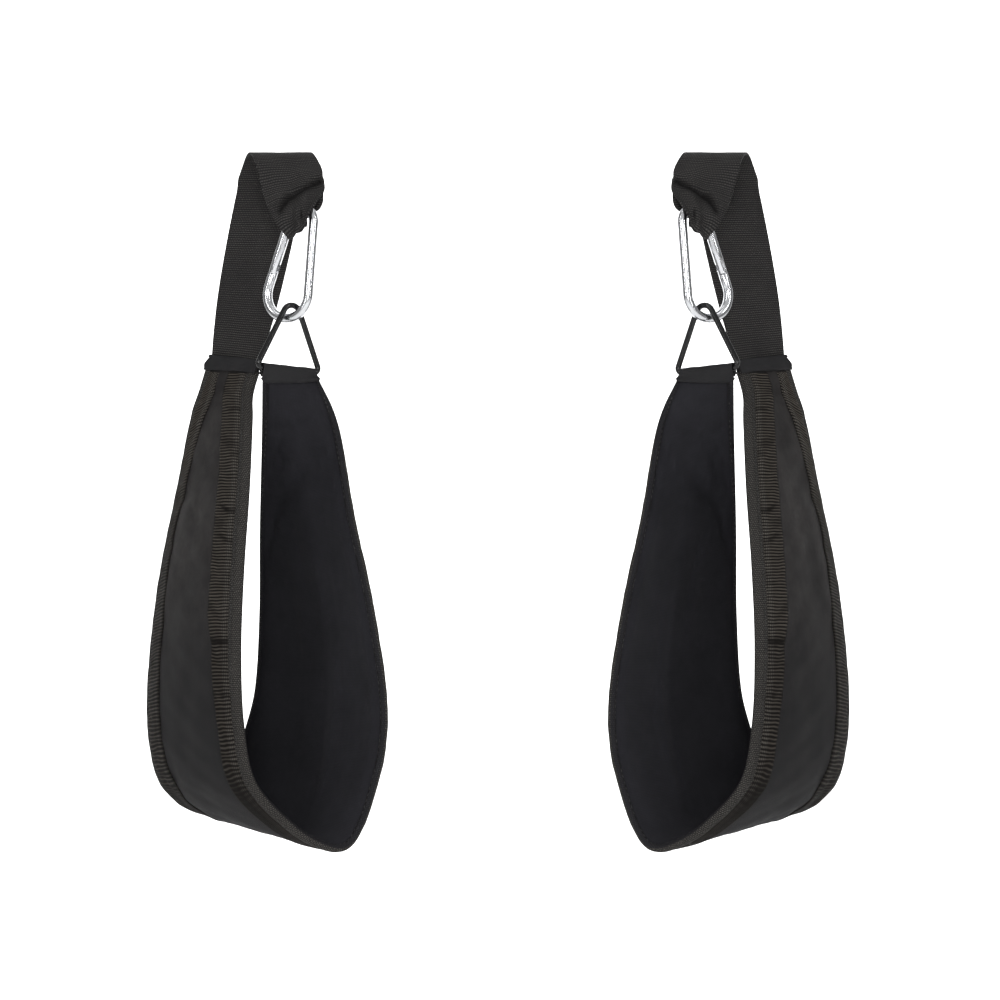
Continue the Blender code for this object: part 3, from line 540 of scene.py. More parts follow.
def swell_at(face, s, share):
    """How far a face of the padded band has puffed up, from its grid over the band."""
    field = SWELL[face]
    rows, columns = SWELL_GRID
    r = np.clip(s / LAST, 0, 1) * (rows - 1)
    c = np.clip(share, 0, 1) * (columns - 1)
    i = np.minimum(np.floor(r).astype(int), rows - 2)
    j = np.minimum(np.floor(c).astype(int), columns - 2)
    u, v = r - i, c - j
    return (field[i, j] * (1 - u) * (1 - v) + field[i + 1, j] * u * (1 - v)
            + field[i, j + 1] * (1 - u) * v + field[i + 1, j + 1] * u * v)


def rim_shift(s, near_side):
    """Which way the foam thins out towards a rim: +1 keeps the outer face, -1 keeps the inner one."""
    turn = fade_in(s, 6.5 if near_side else 8.0, 3.0)
    return 2 * turn - 1 if near_side else 1 - 2 * turn


def layer(s, distance, height):
    """Points at distances from the near rim and heights outwards from the padding's middle."""
    s, distance, height = np.broadcast_arrays(s, distance, height)
    width = width_at(s)
    share = distance / width
    taper = smoothstep(np.minimum(distance, width - distance) / RIM_TAPER)
    thin = (PADDING_THICKNESS / 2 - RIM_FOAM) * (1 - taper)
    shift = np.where(share < 0.5, rim_shift(s, True), rim_shift(s, False)) * thin
    height = height - np.clip(height / (PADDING_THICKNESS / 2), -1, 1) * thin + shift
    swell = np.where(height >= shift, swell_at("outer", s, share), -swell_at("inner", s, share))
    return middle_surface(s, share) + surface_normal(s, share) * (height + swell)[..., None]


def arc_steps(spacing, start=0.0, end=LAST):
    """Places s that lie about spacing apart along the band's middle, and their distances from the start."""
    fine = np.linspace(start, end, 4000)
    middle = middle_surface(fine, np.full_like(fine, 0.5))
    length = np.concatenate([[0], np.cumsum(np.linalg.norm(np.diff(middle, axis=0), axis=1))])
    count = max(int(length[-1] / spacing), 2)
    wanted = np.linspace(0, length[-1], count + 1)
    return np.interp(wanted, length, fine), wanted


# Meshes


def add_object(name, data):
    obj = bpy.data.objects.new(name, data)
    bpy.context.scene.collection.objects.link(obj)
    return obj


def mesh_object(name, verts, faces, finish, body=None, uvs=None, crest=None):
    """A piece from arrays: uvs gives one pair for each vertex, crest one value for each vertex."""
    mesh = bpy.data.meshes.new(name)
    mesh.from_pydata([tuple(v) for v in verts], [], [tuple(f) for f in faces])
    uvs = np.zeros((len(verts), 2)) if uvs is None else uvs
    index = np.zeros(len(mesh.loops), dtype=np.int64)
    mesh.loops.foreach_get("vertex_index", index)
    mesh.uv_layers.new(name="metres").data.foreach_set("uv", np.asarray(uvs, dtype=np.float32)[index].ravel())
    if crest is not None:
        attribute = mesh.attributes.new("crest", "FLOAT", "POINT")
        attribute.data.foreach_set("value", np.asarray(crest, dtype=np.float32))
    mesh.materials.append(FINISHES[finish])
    mesh.shade_smooth()
    mesh.validate()
    obj = add_object(name, mesh)
    if body:
        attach(obj, body)
    return obj


def closed_grid(rows, columns):
    """Faces of two grids of vertices, one after the other, with a wall between their edges."""
    index = np.arange(rows * columns).reshape(rows, columns)
    upper = np.stack([index[:-1, :-1], index[1:, :-1], index[1:, 1:], index[:-1, 1:]], axis=2).reshape(-1, 4)
    lower = upper[:, ::-1] + rows * columns
    edge = np.concatenate([index[0, :-1], index[:-1, -1], index[-1, :0:-1], index[:0:-1, 0]])
    following = np.roll(edge, -1)
    wall = np.stack([edge, following, following + rows * columns, edge + rows * columns], axis=1)
    return np.concatenate([upper, lower, wall])


def block_mesh(label, name, top, bottom, finish, uvs=None, crest=None):
    """A closed piece of a strap's cloth between two grids of points in the outboard frame."""
    side = SIDES[label]
    verts = np.concatenate([top.reshape(-1, 3), bottom.reshape(-1, 3)]) * np.array([side, 1, 1])
    faces = closed_grid(*top.shape[:2])
    if side < 0:
        faces = faces[:, ::-1]
    return mesh_object(f"{label}_{name}", verts, faces, finish, f"{label}_strap", uvs, crest)


def grid_normals(points):
    along = np.gradient(points, axis=0)
    across = np.gradient(points, axis=1)
    return unit(np.cross(along, across))


def sheet_mesh(label, name, points, thickness, finish, rise=0.0, crest=None):
    """A closed sheet about a grid of points. rise lifts the face that its normals point to."""
    rows, columns = points.shape[:2]
    normals = grid_normals(points)
    lift = np.zeros((rows, columns)) + rise
    top = points + normals * (thickness / 2 + lift)[..., None]
    bottom = points - normals * thickness / 2
    steps = np.linalg.norm(np.diff(points, axis=1), axis=2)
    across = np.concatenate([np.zeros((rows, 1)), np.cumsum(steps, axis=1)], axis=1)
    along = np.concatenate([[0], np.cumsum(np.linalg.norm(np.diff(points[:, columns // 2], axis=0), axis=1))])
    uv = np.stack([across, np.repeat(along[:, None], columns, axis=1)], axis=2).reshape(-1, 2)
    shade = None if crest is None else np.concatenate([crest.ravel(), crest.ravel()])
    return block_mesh(label, name, top, bottom, finish, np.concatenate([uv, uv]), shade)


def ring_points(centre, radius, sides, first, second):
    """Points round a centre, in the plane of two directions."""
    angles = (2 * pi * np.arange(sides) / sides)[:, None]
    return centre + radius * (np.cos(angles) * first + np.sin(angles) * second)


def tube_faces(rings, sides, first=0, closed=False):
    """Faces of a tube whose rings of vertices start at number first, with flat ends where it's open."""
    faces = []
    for i in range(rings if closed else rings - 1):
        here, there = first + i * sides, first + (i + 1) % rings * sides
        for j in range(sides):
            k = (j + 1) % sides
            faces.append((here + j, here + k, there + k, there + j))
    if not closed:
        start = range(first, first + sides)
        faces += [tuple(start)[::-1], tuple(j + (rings - 1) * sides for j in start)]
    return faces


def tube_mesh(name, points, radius, sides, finish, matrix, closed=False, shares=None):
    """A round wire along points, placed by a matrix. shares scale its radius at each point."""
    points = np.asarray(points, dtype=float)
    tangents = np.roll(points, -1, 0) - np.roll(points, 1, 0)
    if not closed:
        tangents[0] = points[1] - points[0]
        tangents[-1] = points[-1] - points[-2]
    tangents = unit(tangents)
    normal = np.cross(tangents[0], (0.0, 1.0, 0.0))
    rings = []
    for i, (point, tangent) in enumerate(zip(points, tangents)):
        normal = unit(normal - tangent * normal.dot(tangent))
        size = radius * (1.0 if shares is None else shares[i])
        rings.append(ring_points(point, size, sides, normal, np.cross(tangent, normal)))
    obj = mesh_object(name, np.concatenate(rings), tube_faces(len(rings), sides, 0, closed), finish)
    obj.data.transform(matrix)
    return obj


# Sling


def simulate_swell():
    """Puffs the band's two faces up with cloth, held along the bindings and at both ends."""
    rows, columns = SWELL_GRID
    s = np.linspace(0, LAST, rows)[:, None] * np.ones((1, columns))
    share = np.linspace(0, 1, columns)[None, :] * np.ones((rows, 1))
    middle = middle_surface(s, share)
    normals = surface_normal(s, share)
    half = normals * (PADDING_THICKNESS / 2)
    verts = np.concatenate([(middle + half).reshape(-1, 3), (middle - half).reshape(-1, 3)])
    mesh = bpy.data.meshes.new("swell")
    mesh.from_pydata([tuple(v) for v in verts], [], [tuple(f) for f in closed_grid(rows, columns)])
    obj = add_object("swell", mesh)
    width = width_at(s)
    distance = share * width
    held = np.minimum(distance, width - distance) < BINDING_WIDTH + 0.001
    held |= (s < 1.0) | (s > LAST - 0.6)
    group = obj.vertex_groups.new(name="held")
    group.add([int(i) for i in np.where(np.tile(held.ravel(), 2))[0]], 1.0, "REPLACE")
    cloth = obj.modifiers.new("Cloth", "CLOTH")
    settings = cloth.settings
    settings.quality = 6
    settings.mass = 0.25
    settings.tension_stiffness = 18
    settings.compression_stiffness = 12
    settings.bending_stiffness = 0.6
    settings.shrink_min = -0.012
    settings.use_pressure = True
    settings.uniform_pressure_force = 4.0
    settings.vertex_group_mass = "held"
    settings.effector_weights.gravity = 0.0
    cloth.collision_settings.use_collision = False
    scene = bpy.context.scene
    scene.frame_start, scene.frame_end = 1, SWELL_FRAMES
    for number in range(1, SWELL_FRAMES + 1):
        scene.frame_set(number)
    evaluated = obj.evaluated_get(bpy.context.evaluated_depsgraph_get())
    moved = np.zeros(len(verts) * 3)
    evaluated.data.vertices.foreach_get("co", moved)
    outer, inner = (moved.reshape(-1, 3) - verts).reshape(2, rows, columns, 3)
    scene.frame_set(1)
    bpy.data.objects.remove(obj, do_unlink=True)
    SWELL["outer"] = 0.6 * SWELL_CAP * np.tanh((outer * normals).sum(axis=2) / SWELL_CAP)
    SWELL["inner"] = SWELL_CAP * np.tanh(-(inner * normals).sum(axis=2) / SWELL_CAP)


def pleat_noise(x, y, seed):
    """Smooth repeatable noise from about -1 to 1, with a wavelength of about 1 in x and y."""
    total = 0.0
    for i, (fx, fy) in enumerate(((1.0, 0.7), (0.63, -1.13), (1.71, 0.31), (-0.37, 1.59), (2.3, 1.1))):
        phase = 2 * pi * (fx * x + fy * y) * 0.7 + seed * (i + 1.3) + i * 2.1
        total = total + np.sin(phase) / (1 + 0.45 * i)
    return total / 2.6


def inset_columns(width, start, end, count):
    """Distances from the near rim, from start to width minus end, for each width given."""
    shares = np.linspace(0, 1, count)
    return start + (width[:, None] - start - end) * shares[None, :]


def build_shell(label):
    """Outer cloth, lining and the foam between them."""
    s, _ = arc_steps(0.004)
    width, travel = width_at(s), s[:, None]
    distance = inset_columns(width, RIM_INSET, RIM_INSET, 64)
    middle = np.sin(pi * distance / width[:, None]) ** 2
    crumple = 0.0008 * pleat_noise(travel * 1.3, distance / 0.045, 6.2) * middle
    crumple += 0.0005 * pleat_noise(travel * 3.1 + distance / 0.06, distance / 0.03, 7.9) * middle
    points = layer(travel, distance, SHELL_OFFSET + crumple)
    shell = sheet_mesh(label, "shell_cloth", points, SHELL_THICKNESS, "outer_cloth")
    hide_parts(f"{label}_sling_shell")
    creases = np.abs(pleat_noise(distance / 0.034 + 0.25 * np.sin(travel * 0.8), travel * 0.21, 3.7)) ** 1.5
    height = -LINING_OFFSET - 0.0016 * creases * middle * fade_in(travel, 9.5, 2)
    points = layer(travel, distance, height)[:, ::-1]
    lining = sheet_mesh(label, "lining_cloth", points, LINING_THICKNESS, "lining")
    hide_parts(f"{label}_sling_lining")
    s, _ = arc_steps(0.006, 1.4)
    distance = inset_columns(width_at(s), RIM_INSET, RIM_INSET, 30)
    top, bottom = (layer(s[:, None], distance, sign * PADDING_THICKNESS / 2) for sign in (1, -1))
    pad = block_mesh(label, "foam_pad", top, bottom, "foam")
    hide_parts(f"{label}_sling_padding")


def binding_slim(s):
    """How much narrower the near tape shows where it is stretched round the lower curve."""
    return 0.0015 * fade_in(s, 4.9, 0.8) * fade_out(s, 9.6, 1.6)


def band_columns(s, from_far):
    """The gathered band's distances from the near rim, and each column's share of the band's width."""
    width = width_at(s)
    shares = np.linspace(0, 1, 17)[None, :]
    if from_far:
        wanted = 0.011 + 0.0085 * fade_in(s, 0.5, 1.2) + 0.011 * fade_in(s, 3.4, 1.3)
        slim = 0 * s
    else:
        wanted = 0.022 - 0.005 * fade_in(s, 4.5, 0.5) * fade_out(s, 15.0, 2.0) - 0.002 * bell(s, 6.2, 0.5)
        slim = binding_slim(s)
    band = np.minimum(wanted, width / 2 - BINDING_WIDTH - 0.001)
    outer = BINDING_WIDTH - 0.0008
    distance = outer - slim[:, None] + (BINDING_WIDTH + band - outer)[:, None] * shares
    if from_far:
        return (width[:, None] - distance)[:, ::-1], shares[:, ::-1]
    return distance, shares


def band_flatness(s, shares, from_far, seed):
    """How flat the gathers lie, from 0 to 1: flatter low down, and where the seam catches them."""
    if from_far:
        flat = 0.3 * fade_in(s, 2.6, 1.2) + 0.35 * fade_in(s, 6.6, 1.4)
    else:
        flat = 0.3 * fade_in(s, 4.4, 0.9) + 0.58 * fade_in(s, 6.2, 1.4)
    flat = flat[:, None] + 0 * shares
    for place, spread, depth, reach in (() if from_far else PINCHES):
        bend = 1.6 * spread * pleat_noise(shares * 0.8, place, seed)
        caught = fade_out(shares, reach + 0.5, 0.5)
        flat = flat + (depth - flat) * caught * bell(s[:, None] + bend, place, spread)
    return flat * fade_out(s, 15.0, 2.0)[:, None]


def build_band(label, which):
    """Cloth gathered into cross ribs, sewn down along both edges."""
    from_far = which == "far"
    s, along = arc_steps(0.0005, 0.5, LAST - 0.26)
    distance, shares = band_columns(s, from_far)
    seed = 1.7 if from_far else 0.4
    travel = along[:, None] + np.zeros_like(distance)
    low_down = bell(s, 9.5, 3.4)[:, None]
    calm = 1 - 0.85 * (fade_in(s, 6.6, 1.6) * fade_out(s, 13.4, 1.6))[:, None]
    pitch = 0.0022 + 0.002 * low_down
    slant = (0.0085 if from_far else 0.0016) * (1 - 0.6 * smoothstep(s / 5.0))[:, None]
    slant = slant * (shares if from_far else -shares)
    waver = 0.16 * pleat_noise(shares * 1.4, travel / 0.017, seed)
    waver = waver + 0.2 * pleat_noise(shares * 0.4, travel / 0.05, seed + 2)
    waver = waver + low_down * 0.5 * pleat_noise(shares * 0.7, travel / 0.011, seed + 4)
    cycles = np.cumsum(np.gradient(along)[:, None] / pitch, axis=0) + slant / pitch
    crest = (0.5 + 0.5 * np.sin(2 * pi * (cycles + waver))) ** (2.0 if from_far else 1.2)
    if from_far:
        crest = crest * (1 + 0.8 * (1 - fade_in(s, 2.2, 1.5)))[:, None]
    crest = crest * (1 - band_flatness(s, shares, from_far, seed))
    strength = 0.72 + 0.34 * pleat_noise(shares * 1.6 + 3.0, travel / 0.009, seed + 5)
    pinch = np.clip(pleat_noise(shares * 0.5 + 1.0, travel / 0.016, seed + 8) - 0.42, 0, 1)
    strength = strength * (1 - 0.9 * smoothstep(pinch / 0.4)) * calm
    hold = smoothstep(np.minimum(shares, 1 - shares) * 25 / 3.2)
    rise = GATHERED_RISE * np.clip(strength, 0.08, 1.1) * np.clip(crest, 0, 1) * (0.25 + 0.75 * hold)
    # shade is painted light and shade: light on the crests, darker where the seams hold the band and where it
    # is pinched or lies flat, and a dim even tone in the calm stretch low down.
    shade = (crest * calm + 0.26 * (1 - calm)) * (0.35 + 0.65 * hold) * (0.7 + 0.5 * strength)
    points = layer(s[:, None], distance, SHELL_TOP + 0.00045 + 0.0002 * hold)
    band = sheet_mesh(label, f"{which}_gathered_band", points, GATHERED_THICKNESS, "ribbed_band",
                      rise - 0.0003 * (1 - hold), np.clip(shade, 0, 1))
    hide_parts(f"{label}_{which}_ribbed_band")


def build_binding(label, which):
    """Tape folded round the rim, a little puffed between its edge and its seam."""
    from_far = which == "far"
    s, along = arc_steps(0.0028, 0.36)
    width = width_at(s)[:, None]
    high = SHELL_TOP + 0.0004 + BINDING_THICKNESS / 2
    low = LINING_TOP + 0.0004 + BINDING_THICKNESS / 2
    inner = BINDING_INNER_WIDTH
    profile = np.array([
        (BINDING_WIDTH + 0.0003, SHELL_TOP + 0.0006), (BINDING_WIDTH - 0.0006, SHELL_TOP + 0.0009),
        (BINDING_WIDTH - 0.002, high + 0.0001), (0.0062, high + 0.0004), (0.0042, high + 0.0004),
        (0.0024, high), (0.0012, high - 0.0007), (0.0005, high - 0.0018), (0.0004, 0.0),
        (0.0005, -(low - 0.0018)), (0.0012, -(low - 0.0007)), (0.002, -low), (0.003, -(low + 0.0002)),
        (inner - 0.0012, -(low + 0.0001)), (inner - 0.0004, -(LINING_TOP + 0.0008)),
        (inner + 0.0002, -(LINING_TOP + 0.0005))])
    distance, height = profile[:, 0][None, :], profile[:, 1][None, :]
    pucker = pleat_noise(along[:, None] / 0.016, distance / 0.02, 4.0 if from_far else 2.2)
    height = height + np.sign(height) * (0.00022 * pucker * (distance > 0.002))
    if from_far:
        distance, height = (width - distance)[:, ::-1], height[:, ::-1]
    else:
        distance = distance * np.where(height > 0, 1 - binding_slim(s)[:, None] / BINDING_WIDTH, 1.0)
    tape = sheet_mesh(label, f"{which}_tape", layer(s[:, None], distance, height), BINDING_THICKNESS,
                      "binding_tape", crest=np.where(height < 0, 1.0, 0.0))
    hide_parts(f"{label}_{which}_binding")
    build_stitches(label, which, "outer", BINDING_WIDTH - 0.0017, SHELL_TOP + 0.0014)
    build_stitches(label, which, "inner", inner - 0.0012, -(LINING_TOP + 0.0013))


def build_stitches(label, which, face, inset, height):
    """A row of thread stitches along a rim, which dip into the cloth at both ends."""
    ends = (0.3, LAST - 0.5)
    fine_s, fine_along = arc_steps(0.0005, *ends)
    sides, segments = 6, 5
    lift = np.sin(np.linspace(0, pi, segments)) * 0.00022 - 0.00026
    verts, faces = [], []
    for position in arc_steps(STITCH_PITCH, *ends)[1][:-1]:
        s = np.interp(position + STITCH_LENGTH * np.linspace(0, 1, segments), fine_along, fine_s)
        width = width_at(s)
        near = inset - (binding_slim(s) if height > 0 else 0.0) + np.zeros_like(s)
        distance = width - inset if which == "far" else near
        centre = layer(s, distance, height + np.sign(height) * lift)
        up = surface_normal(s, distance / width)
        across = np.cross(unit(np.gradient(centre, axis=0)), up)
        faces += tube_faces(segments, sides, len(verts))
        for middle, first, second in zip(centre, across, up):
            verts.extend(ring_points(middle, STITCH_RADIUS, sides, first, second))
    verts = np.array(verts) * np.array([SIDES[label], 1, 1])
    if SIDES[label] > 0:
        faces = [face[::-1] for face in faces]
    piece = mesh_object(f"{label}_{which}_{face}_stitches", verts, faces, "thread", f"{label}_strap")


def build_end_cover(label):
    """The cross band over the webbing's entry, rolled over at its top edge."""
    columns = 56
    rows = []
    shares = np.linspace(0.0, 1.0, columns)
    steps, along = arc_steps(0.0005, 0, 1.5)
    for depth in np.linspace(0, COVER_VISIBLE_HEIGHT, 10)[::-1]:
        s = np.full(columns, np.interp(depth, along, steps))
        fold = 0.00035 * pleat_noise(shares * 2.2, depth * 110, 0.9)
        opened = smoothstep(depth / 0.006)
        tuck = 0.0022 * (1 - opened) + 0.0016 * fade_in(depth, 0.0045, 0.004)
        lift = 0.0014 + 0.0008 * opened - 0.0004 * fade_in(depth, 0.0075, 0.002)
        rows.append(layer(s, tuck * 0.3 + shares * (width_at(s) - tuck * 1.3), SHELL_TOP + lift + fold))
    start = np.zeros(columns)
    top = layer(start, 0.0007 + shares * (width_at(start) - 0.0029), start)
    tangent = unit(middle_surface(start, shares) - middle_surface(start + 0.2, shares))
    normals = surface_normal(start, shares)
    outer = SHELL_TOP + 0.0013
    for angle in np.radians((20, 42, 65, 90)):
        rows.append(top + normals * (outer * cos(angle) + 0.0012 * (1 - cos(angle)))
                    + tangent * (0.0016 * sin(angle)))
    cover = sheet_mesh(label, "cross_cover", np.array(rows), COVER_THICKNESS, "cover")
    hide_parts(f"{label}_end_cover")


def build_keeper(label):
    """The folded cloth tunnel round the ring's base, its two legs lying on both faces of the band below it.
    """
    columns = 44
    shares = np.linspace(0, 1, columns)
    across, normal, up, base = (np.array(column.to_3d()) for column in RING.col)
    leg_rows = ((0.15, 0.0049), (0.12, 0.0053), (0.09, 0.0053), (0.06, 0.0049), (0.03, 0.0043))

    def leg(sign):
        out = []
        for before_end, height in leg_rows:
            s = np.full(columns, LAST - before_end)
            fold = 0.0004 * pleat_noise(shares * 2.4, s * 5.0, 2.0 + sign)
            lower = smoothstep((LAST - s) / 0.13)
            tuck, reach = 0.0024 * lower, 0.0022 * lower * (1 - lower) * 4
            out.append(layer(s, tuck + shares * (width_at(s) - tuck + reach), sign * (height + fold)))
        return out

    radius = RING_WIRE / 2 + FIT_GAP + KEEPER_THICKNESS / 2 + 0.0001
    arch = []
    for angle in np.radians(np.linspace(-8, 188, 15)):
        lift = radius * (cos(angle) * normal + sin(angle) * up)
        crease = 0.00025 * pleat_noise(shares * 3.0, angle * 0.4, 3.1)
        reach = (shares[:, None] - 0.5) * INNER_END_WIDTH * across
        arch.append(base + reach + lift * (1 + (crease / radius)[:, None]))
    points = np.array(leg(1) + arch + leg(-1)[::-1])
    keeper = sheet_mesh(label, "ring_tunnel", points, KEEPER_THICKNESS, "keeper")
    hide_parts(f"{label}_ring_keeper")


# Webbing


def webbing_rows():
    """Rows of points from the sewn end, over the top and through the eye to the tail, and their pleats."""
    shares = np.linspace(0, 1, 7)
    rows, pleats = [], []

    def between(edge_a, edge_b, depth=0.0):
        rows.append(np.asarray(edge_a) + (np.asarray(edge_b) - np.asarray(edge_a)) * shares[:, None])
        pleats.append(depth)

    height = SHELL_OFFSET - (SHELL_THICKNESS + WEBBING_THICKNESS) / 2 - 2 * FIT_GAP
    steps, along = arc_steps(0.0005, 0, 3)
    for distance in SEWN_PLACES:
        s = np.full(len(shares), np.interp(distance, along, steps))
        width = width_at(s)
        across = width - (width - WEBBING_WIDTH) / 2 - shares * WEBBING_WIDTH
        rows.append(layer(s, across, height))
        pleats.append(0.0)
    start = (rows[-1][0] + rows[-1][-1]) / 2
    half_start = (rows[-1][0] - rows[-1][-1]) / 2
    half = WEBBING_WIDTH / 2
    radius = WEBBING_PATH_RADIUS
    goal = np.array((MIDDLE + REAR_SHIFT, radius, -REAR_DROP * BAR_RADIUS))
    for step in range(1, REAR_STEPS + 1):
        share = step / REAR_STEPS
        turned = 1 - (1 - share) ** REAR_TWIST_POWER
        centre = start + (goal - start) * share
        direction = unit(half_start + (np.array((half, 0, 0)) - half_start) * turned) * half
        between(centre + direction, centre - direction)
    turns = 18
    quarter = pi / 2
    for i in range(1, turns + 1):
        angle = FRONT_ANGLE * i / turns
        back = REAR_SHIFT * max(1 - angle / quarter, 0.0)
        front = FRONT_SHIFT * max(angle - quarter, 0.0) / (FRONT_ANGLE - quarter)
        x, y, z = MIDDLE + back - front, radius * cos(angle), radius * sin(angle)
        squeeze = 0.0044 * max(sin(angle), 0.0) ** 0.8 * fade_in(angle, 0.9, 0.6)
        between((x + half, y, z), (x - half + squeeze, y, z), 0.0006 * max(i / turns - 0.7, 0) / 0.3)
    eye = np.array(EYE_TOP)
    for (outboard, inboard), depth in zip(FOLD_ROWS, FOLD_PLEATS):
        between(eye + outboard, eye + inboard, depth)
    pull = WIRE_RADIUS + WEBBING_THICKNESS / 2 + FIT_GAP + EYE_SAG
    for angle in (radians(degrees) for degrees in (45, 75, 105, 135, 160)):
        y, z = -pull * cos(angle), EYE_RADIUS - pull * sin(angle)
        between(*(HOOK @ Vector((sign * WEBBING_EYE_WIDTH / 2, y, z)) for sign in (1, -1)))
    for (outboard, inboard), depth in zip(TAIL_ROWS, TAIL_PLEATS):
        between(eye + outboard, eye + inboard, depth)
    return rows, pleats


def catmull(rows, per_step):
    """Smooth rows of points, with per_step rows for each given one."""
    last = len(rows) - 1
    return spline_at(rows, np.linspace(0, last, last * per_step + 1))


def build_webbing(label):
    rows, pleats = webbing_rows()
    points = catmull(np.asarray(rows), WEBBING_SMOOTHING)
    points = catmull(points.transpose(1, 0, 2), WEBBING_SMOOTHING).transpose(1, 0, 2)
    depth = np.interp(np.linspace(0, len(pleats) - 1, len(points)), np.arange(len(pleats)), pleats)
    across = np.linspace(0, 1, points.shape[1])[None, :]
    row = np.arange(len(points))[:, None] / WEBBING_SMOOTHING
    wave = np.cos(2 * pi * (2.1 * across + 0.35 * np.sin(row * 0.9) * 0.25) + 0.7)
    window = np.sin(pi * across) ** 0.5
    gentle = 0.0004 * pleat_noise(across * 1.3, row * 0.23, 0.5) * window
    points = points + grid_normals(points) * (depth[:, None] * wave * window + gentle)[..., None]
    front = fade_in(row, FRONT_ROWS[0], 2) * fade_out(row, FRONT_ROWS[1], 1.5)
    # gathered_relief also gives the painted shade of the front folds, which goes to the finish as the crest
    # attribute.
    relief, depth = gathered_relief(points)
    points = points + relief * front[..., None]
    strap = sheet_mesh(label, "wrapped_webbing", points, WEBBING_THICKNESS, "webbing", crest=depth * front)
    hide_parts(f"{label}_bar_strap")


def gathered_relief(points):
    """Folds of the front cloth, drawn together over the hook's eye: shifts, and a painted shade from 0 to 1,
    darkest along the main crease and in the hollow beside the eye.
    """
    offset = points - np.array(EYE_TOP)
    x, z = offset[..., 0], offset[..., 2]
    valley = np.full(x.shape, 1.0)
    above = np.zeros(x.shape)
    for start, end in zip(VALLEY[:-1], VALLEY[1:]):
        start, end = np.array(start), np.array(end)
        line = end - start
        share = np.clip(((x - start[0]) * line[0] + (z - start[1]) * line[1]) / line.dot(line), 0, 1)
        dx, dz = x - start[0] - share * line[0], z - start[1] - share * line[1]
        distance = np.hypot(dx, dz)
        above = np.where(distance < valley, np.sign(dz), above)
        valley = np.minimum(valley, distance)

    def mound(centre_x, centre_z, spread_x, spread_z, power=1.0):
        return np.exp(-(((x - centre_x) / spread_x) ** 2 + ((z - centre_z) / spread_z) ** 2) ** power)

    trench = bell(valley, 0.0, 0.0018) * 0.0044
    ridge = bell(valley * above, 0.0042, 0.0024) * 0.0022
    dome = mound(0.008, -0.0045, 0.0066, 0.0062, 1.5) * 0.0042
    shadow = mound(0.0018, -0.006, 0.001, 0.0042)
    inboard = mound(-0.002, -0.0075, 0.003, 0.006) * 0.0012
    lift = bell(x, 0.002, 0.005) * 0.0026 * fade_out(z, -0.008, 0.008)
    # depth is a painted shade rather than a depth: darkest along the main crease and in the hollow beside the
    # eye.
    depth = np.clip(bell(valley, 0.0, 0.003) + 0.9 * shadow, 0, 1)
    return np.stack([0 * x, trench + 0.003 * shadow - ridge - dome - inboard, lift], axis=-1), depth


# Hook and ring


def arc_points(centre, radius, start, end, steps):
    """Points along an arc in the XZ plane."""
    angles = (start + (end - start) * i / steps for i in range(steps + 1))
    return [Vector((centre[0] + radius * cos(a), 0, centre[1] + radius * sin(a))) for a in angles]


def hook_leg(distance):
    """The point of the gate's straight leg at a distance from the eye."""
    outward = Vector((cos(LEG_ANGLE), 0, sin(LEG_ANGLE)))
    along = Vector((sin(LEG_ANGLE), 0, -cos(LEG_ANGLE)))
    return EYE_RADIUS * outward + along * distance


def round_end(tip, inwards, radius):
    """Points that round off a wire's end, and the share of its radius at each."""
    points, shares = [], []
    for angle in range(4, 89, 12):
        turn = radians(angle)
        points.append(tip - inwards * radius * cos(turn))
        shares.append(sin(turn))
    return points + [tip], shares + [1.0]


def cutter_from(bm, matrix):
    bmesh.ops.transform(bm, matrix=matrix, verts=bm.verts)
    mesh = bpy.data.meshes.new("cutter")
    bm.to_mesh(mesh)
    bm.free()
    return add_object("cutter", mesh)


def cutter_box(low, high, matrix):
    bm = bmesh.new()
    bmesh.ops.create_cube(bm, size=1.0)
    size = Vector(high) - Vector(low)
    middle = (Vector(high) + Vector(low)) / 2
    return cutter_from(bm, matrix @ Matrix.Translation(middle) @ Matrix.Diagonal((*size, 1)))


def cutter_rod(radius, z, matrix):
    """A cutter for a bore along Y at a height z."""
    bm = bmesh.new()
    bmesh.ops.create_cone(bm, cap_ends=True, segments=ROUND_SIDES, radius1=radius, radius2=radius,
                          depth=2 * CUT_REACH)
    return cutter_from(bm, matrix @ Matrix.Translation((0, 0, z)) @ Matrix.Rotation(pi / 2, 4, "X"))


def carve(obj, cutters, bevel_width=0.0003):
    """Cuts the cutters out of a piece and softens its edges."""
    for cutter in cutters:
        cut = obj.modifiers.new("Cut", "BOOLEAN")
        cut.object = cutter
        cut.solver = "EXACT"
    evaluated = obj.evaluated_get(bpy.context.evaluated_depsgraph_get())
    mesh = bpy.data.meshes.new_from_object(evaluated)
    obj.modifiers.clear()
    obj.data = mesh
    for cutter in cutters:
        bpy.data.objects.remove(cutter, do_unlink=True)
    mesh.shade_smooth()
    bevel = obj.modifiers.new("Softened edges", "BEVEL")
    bevel.width = bevel_width
    bevel.segments = 2
    bevel.limit_method = "ANGLE"
    bevel.angle_limit = radians(38)


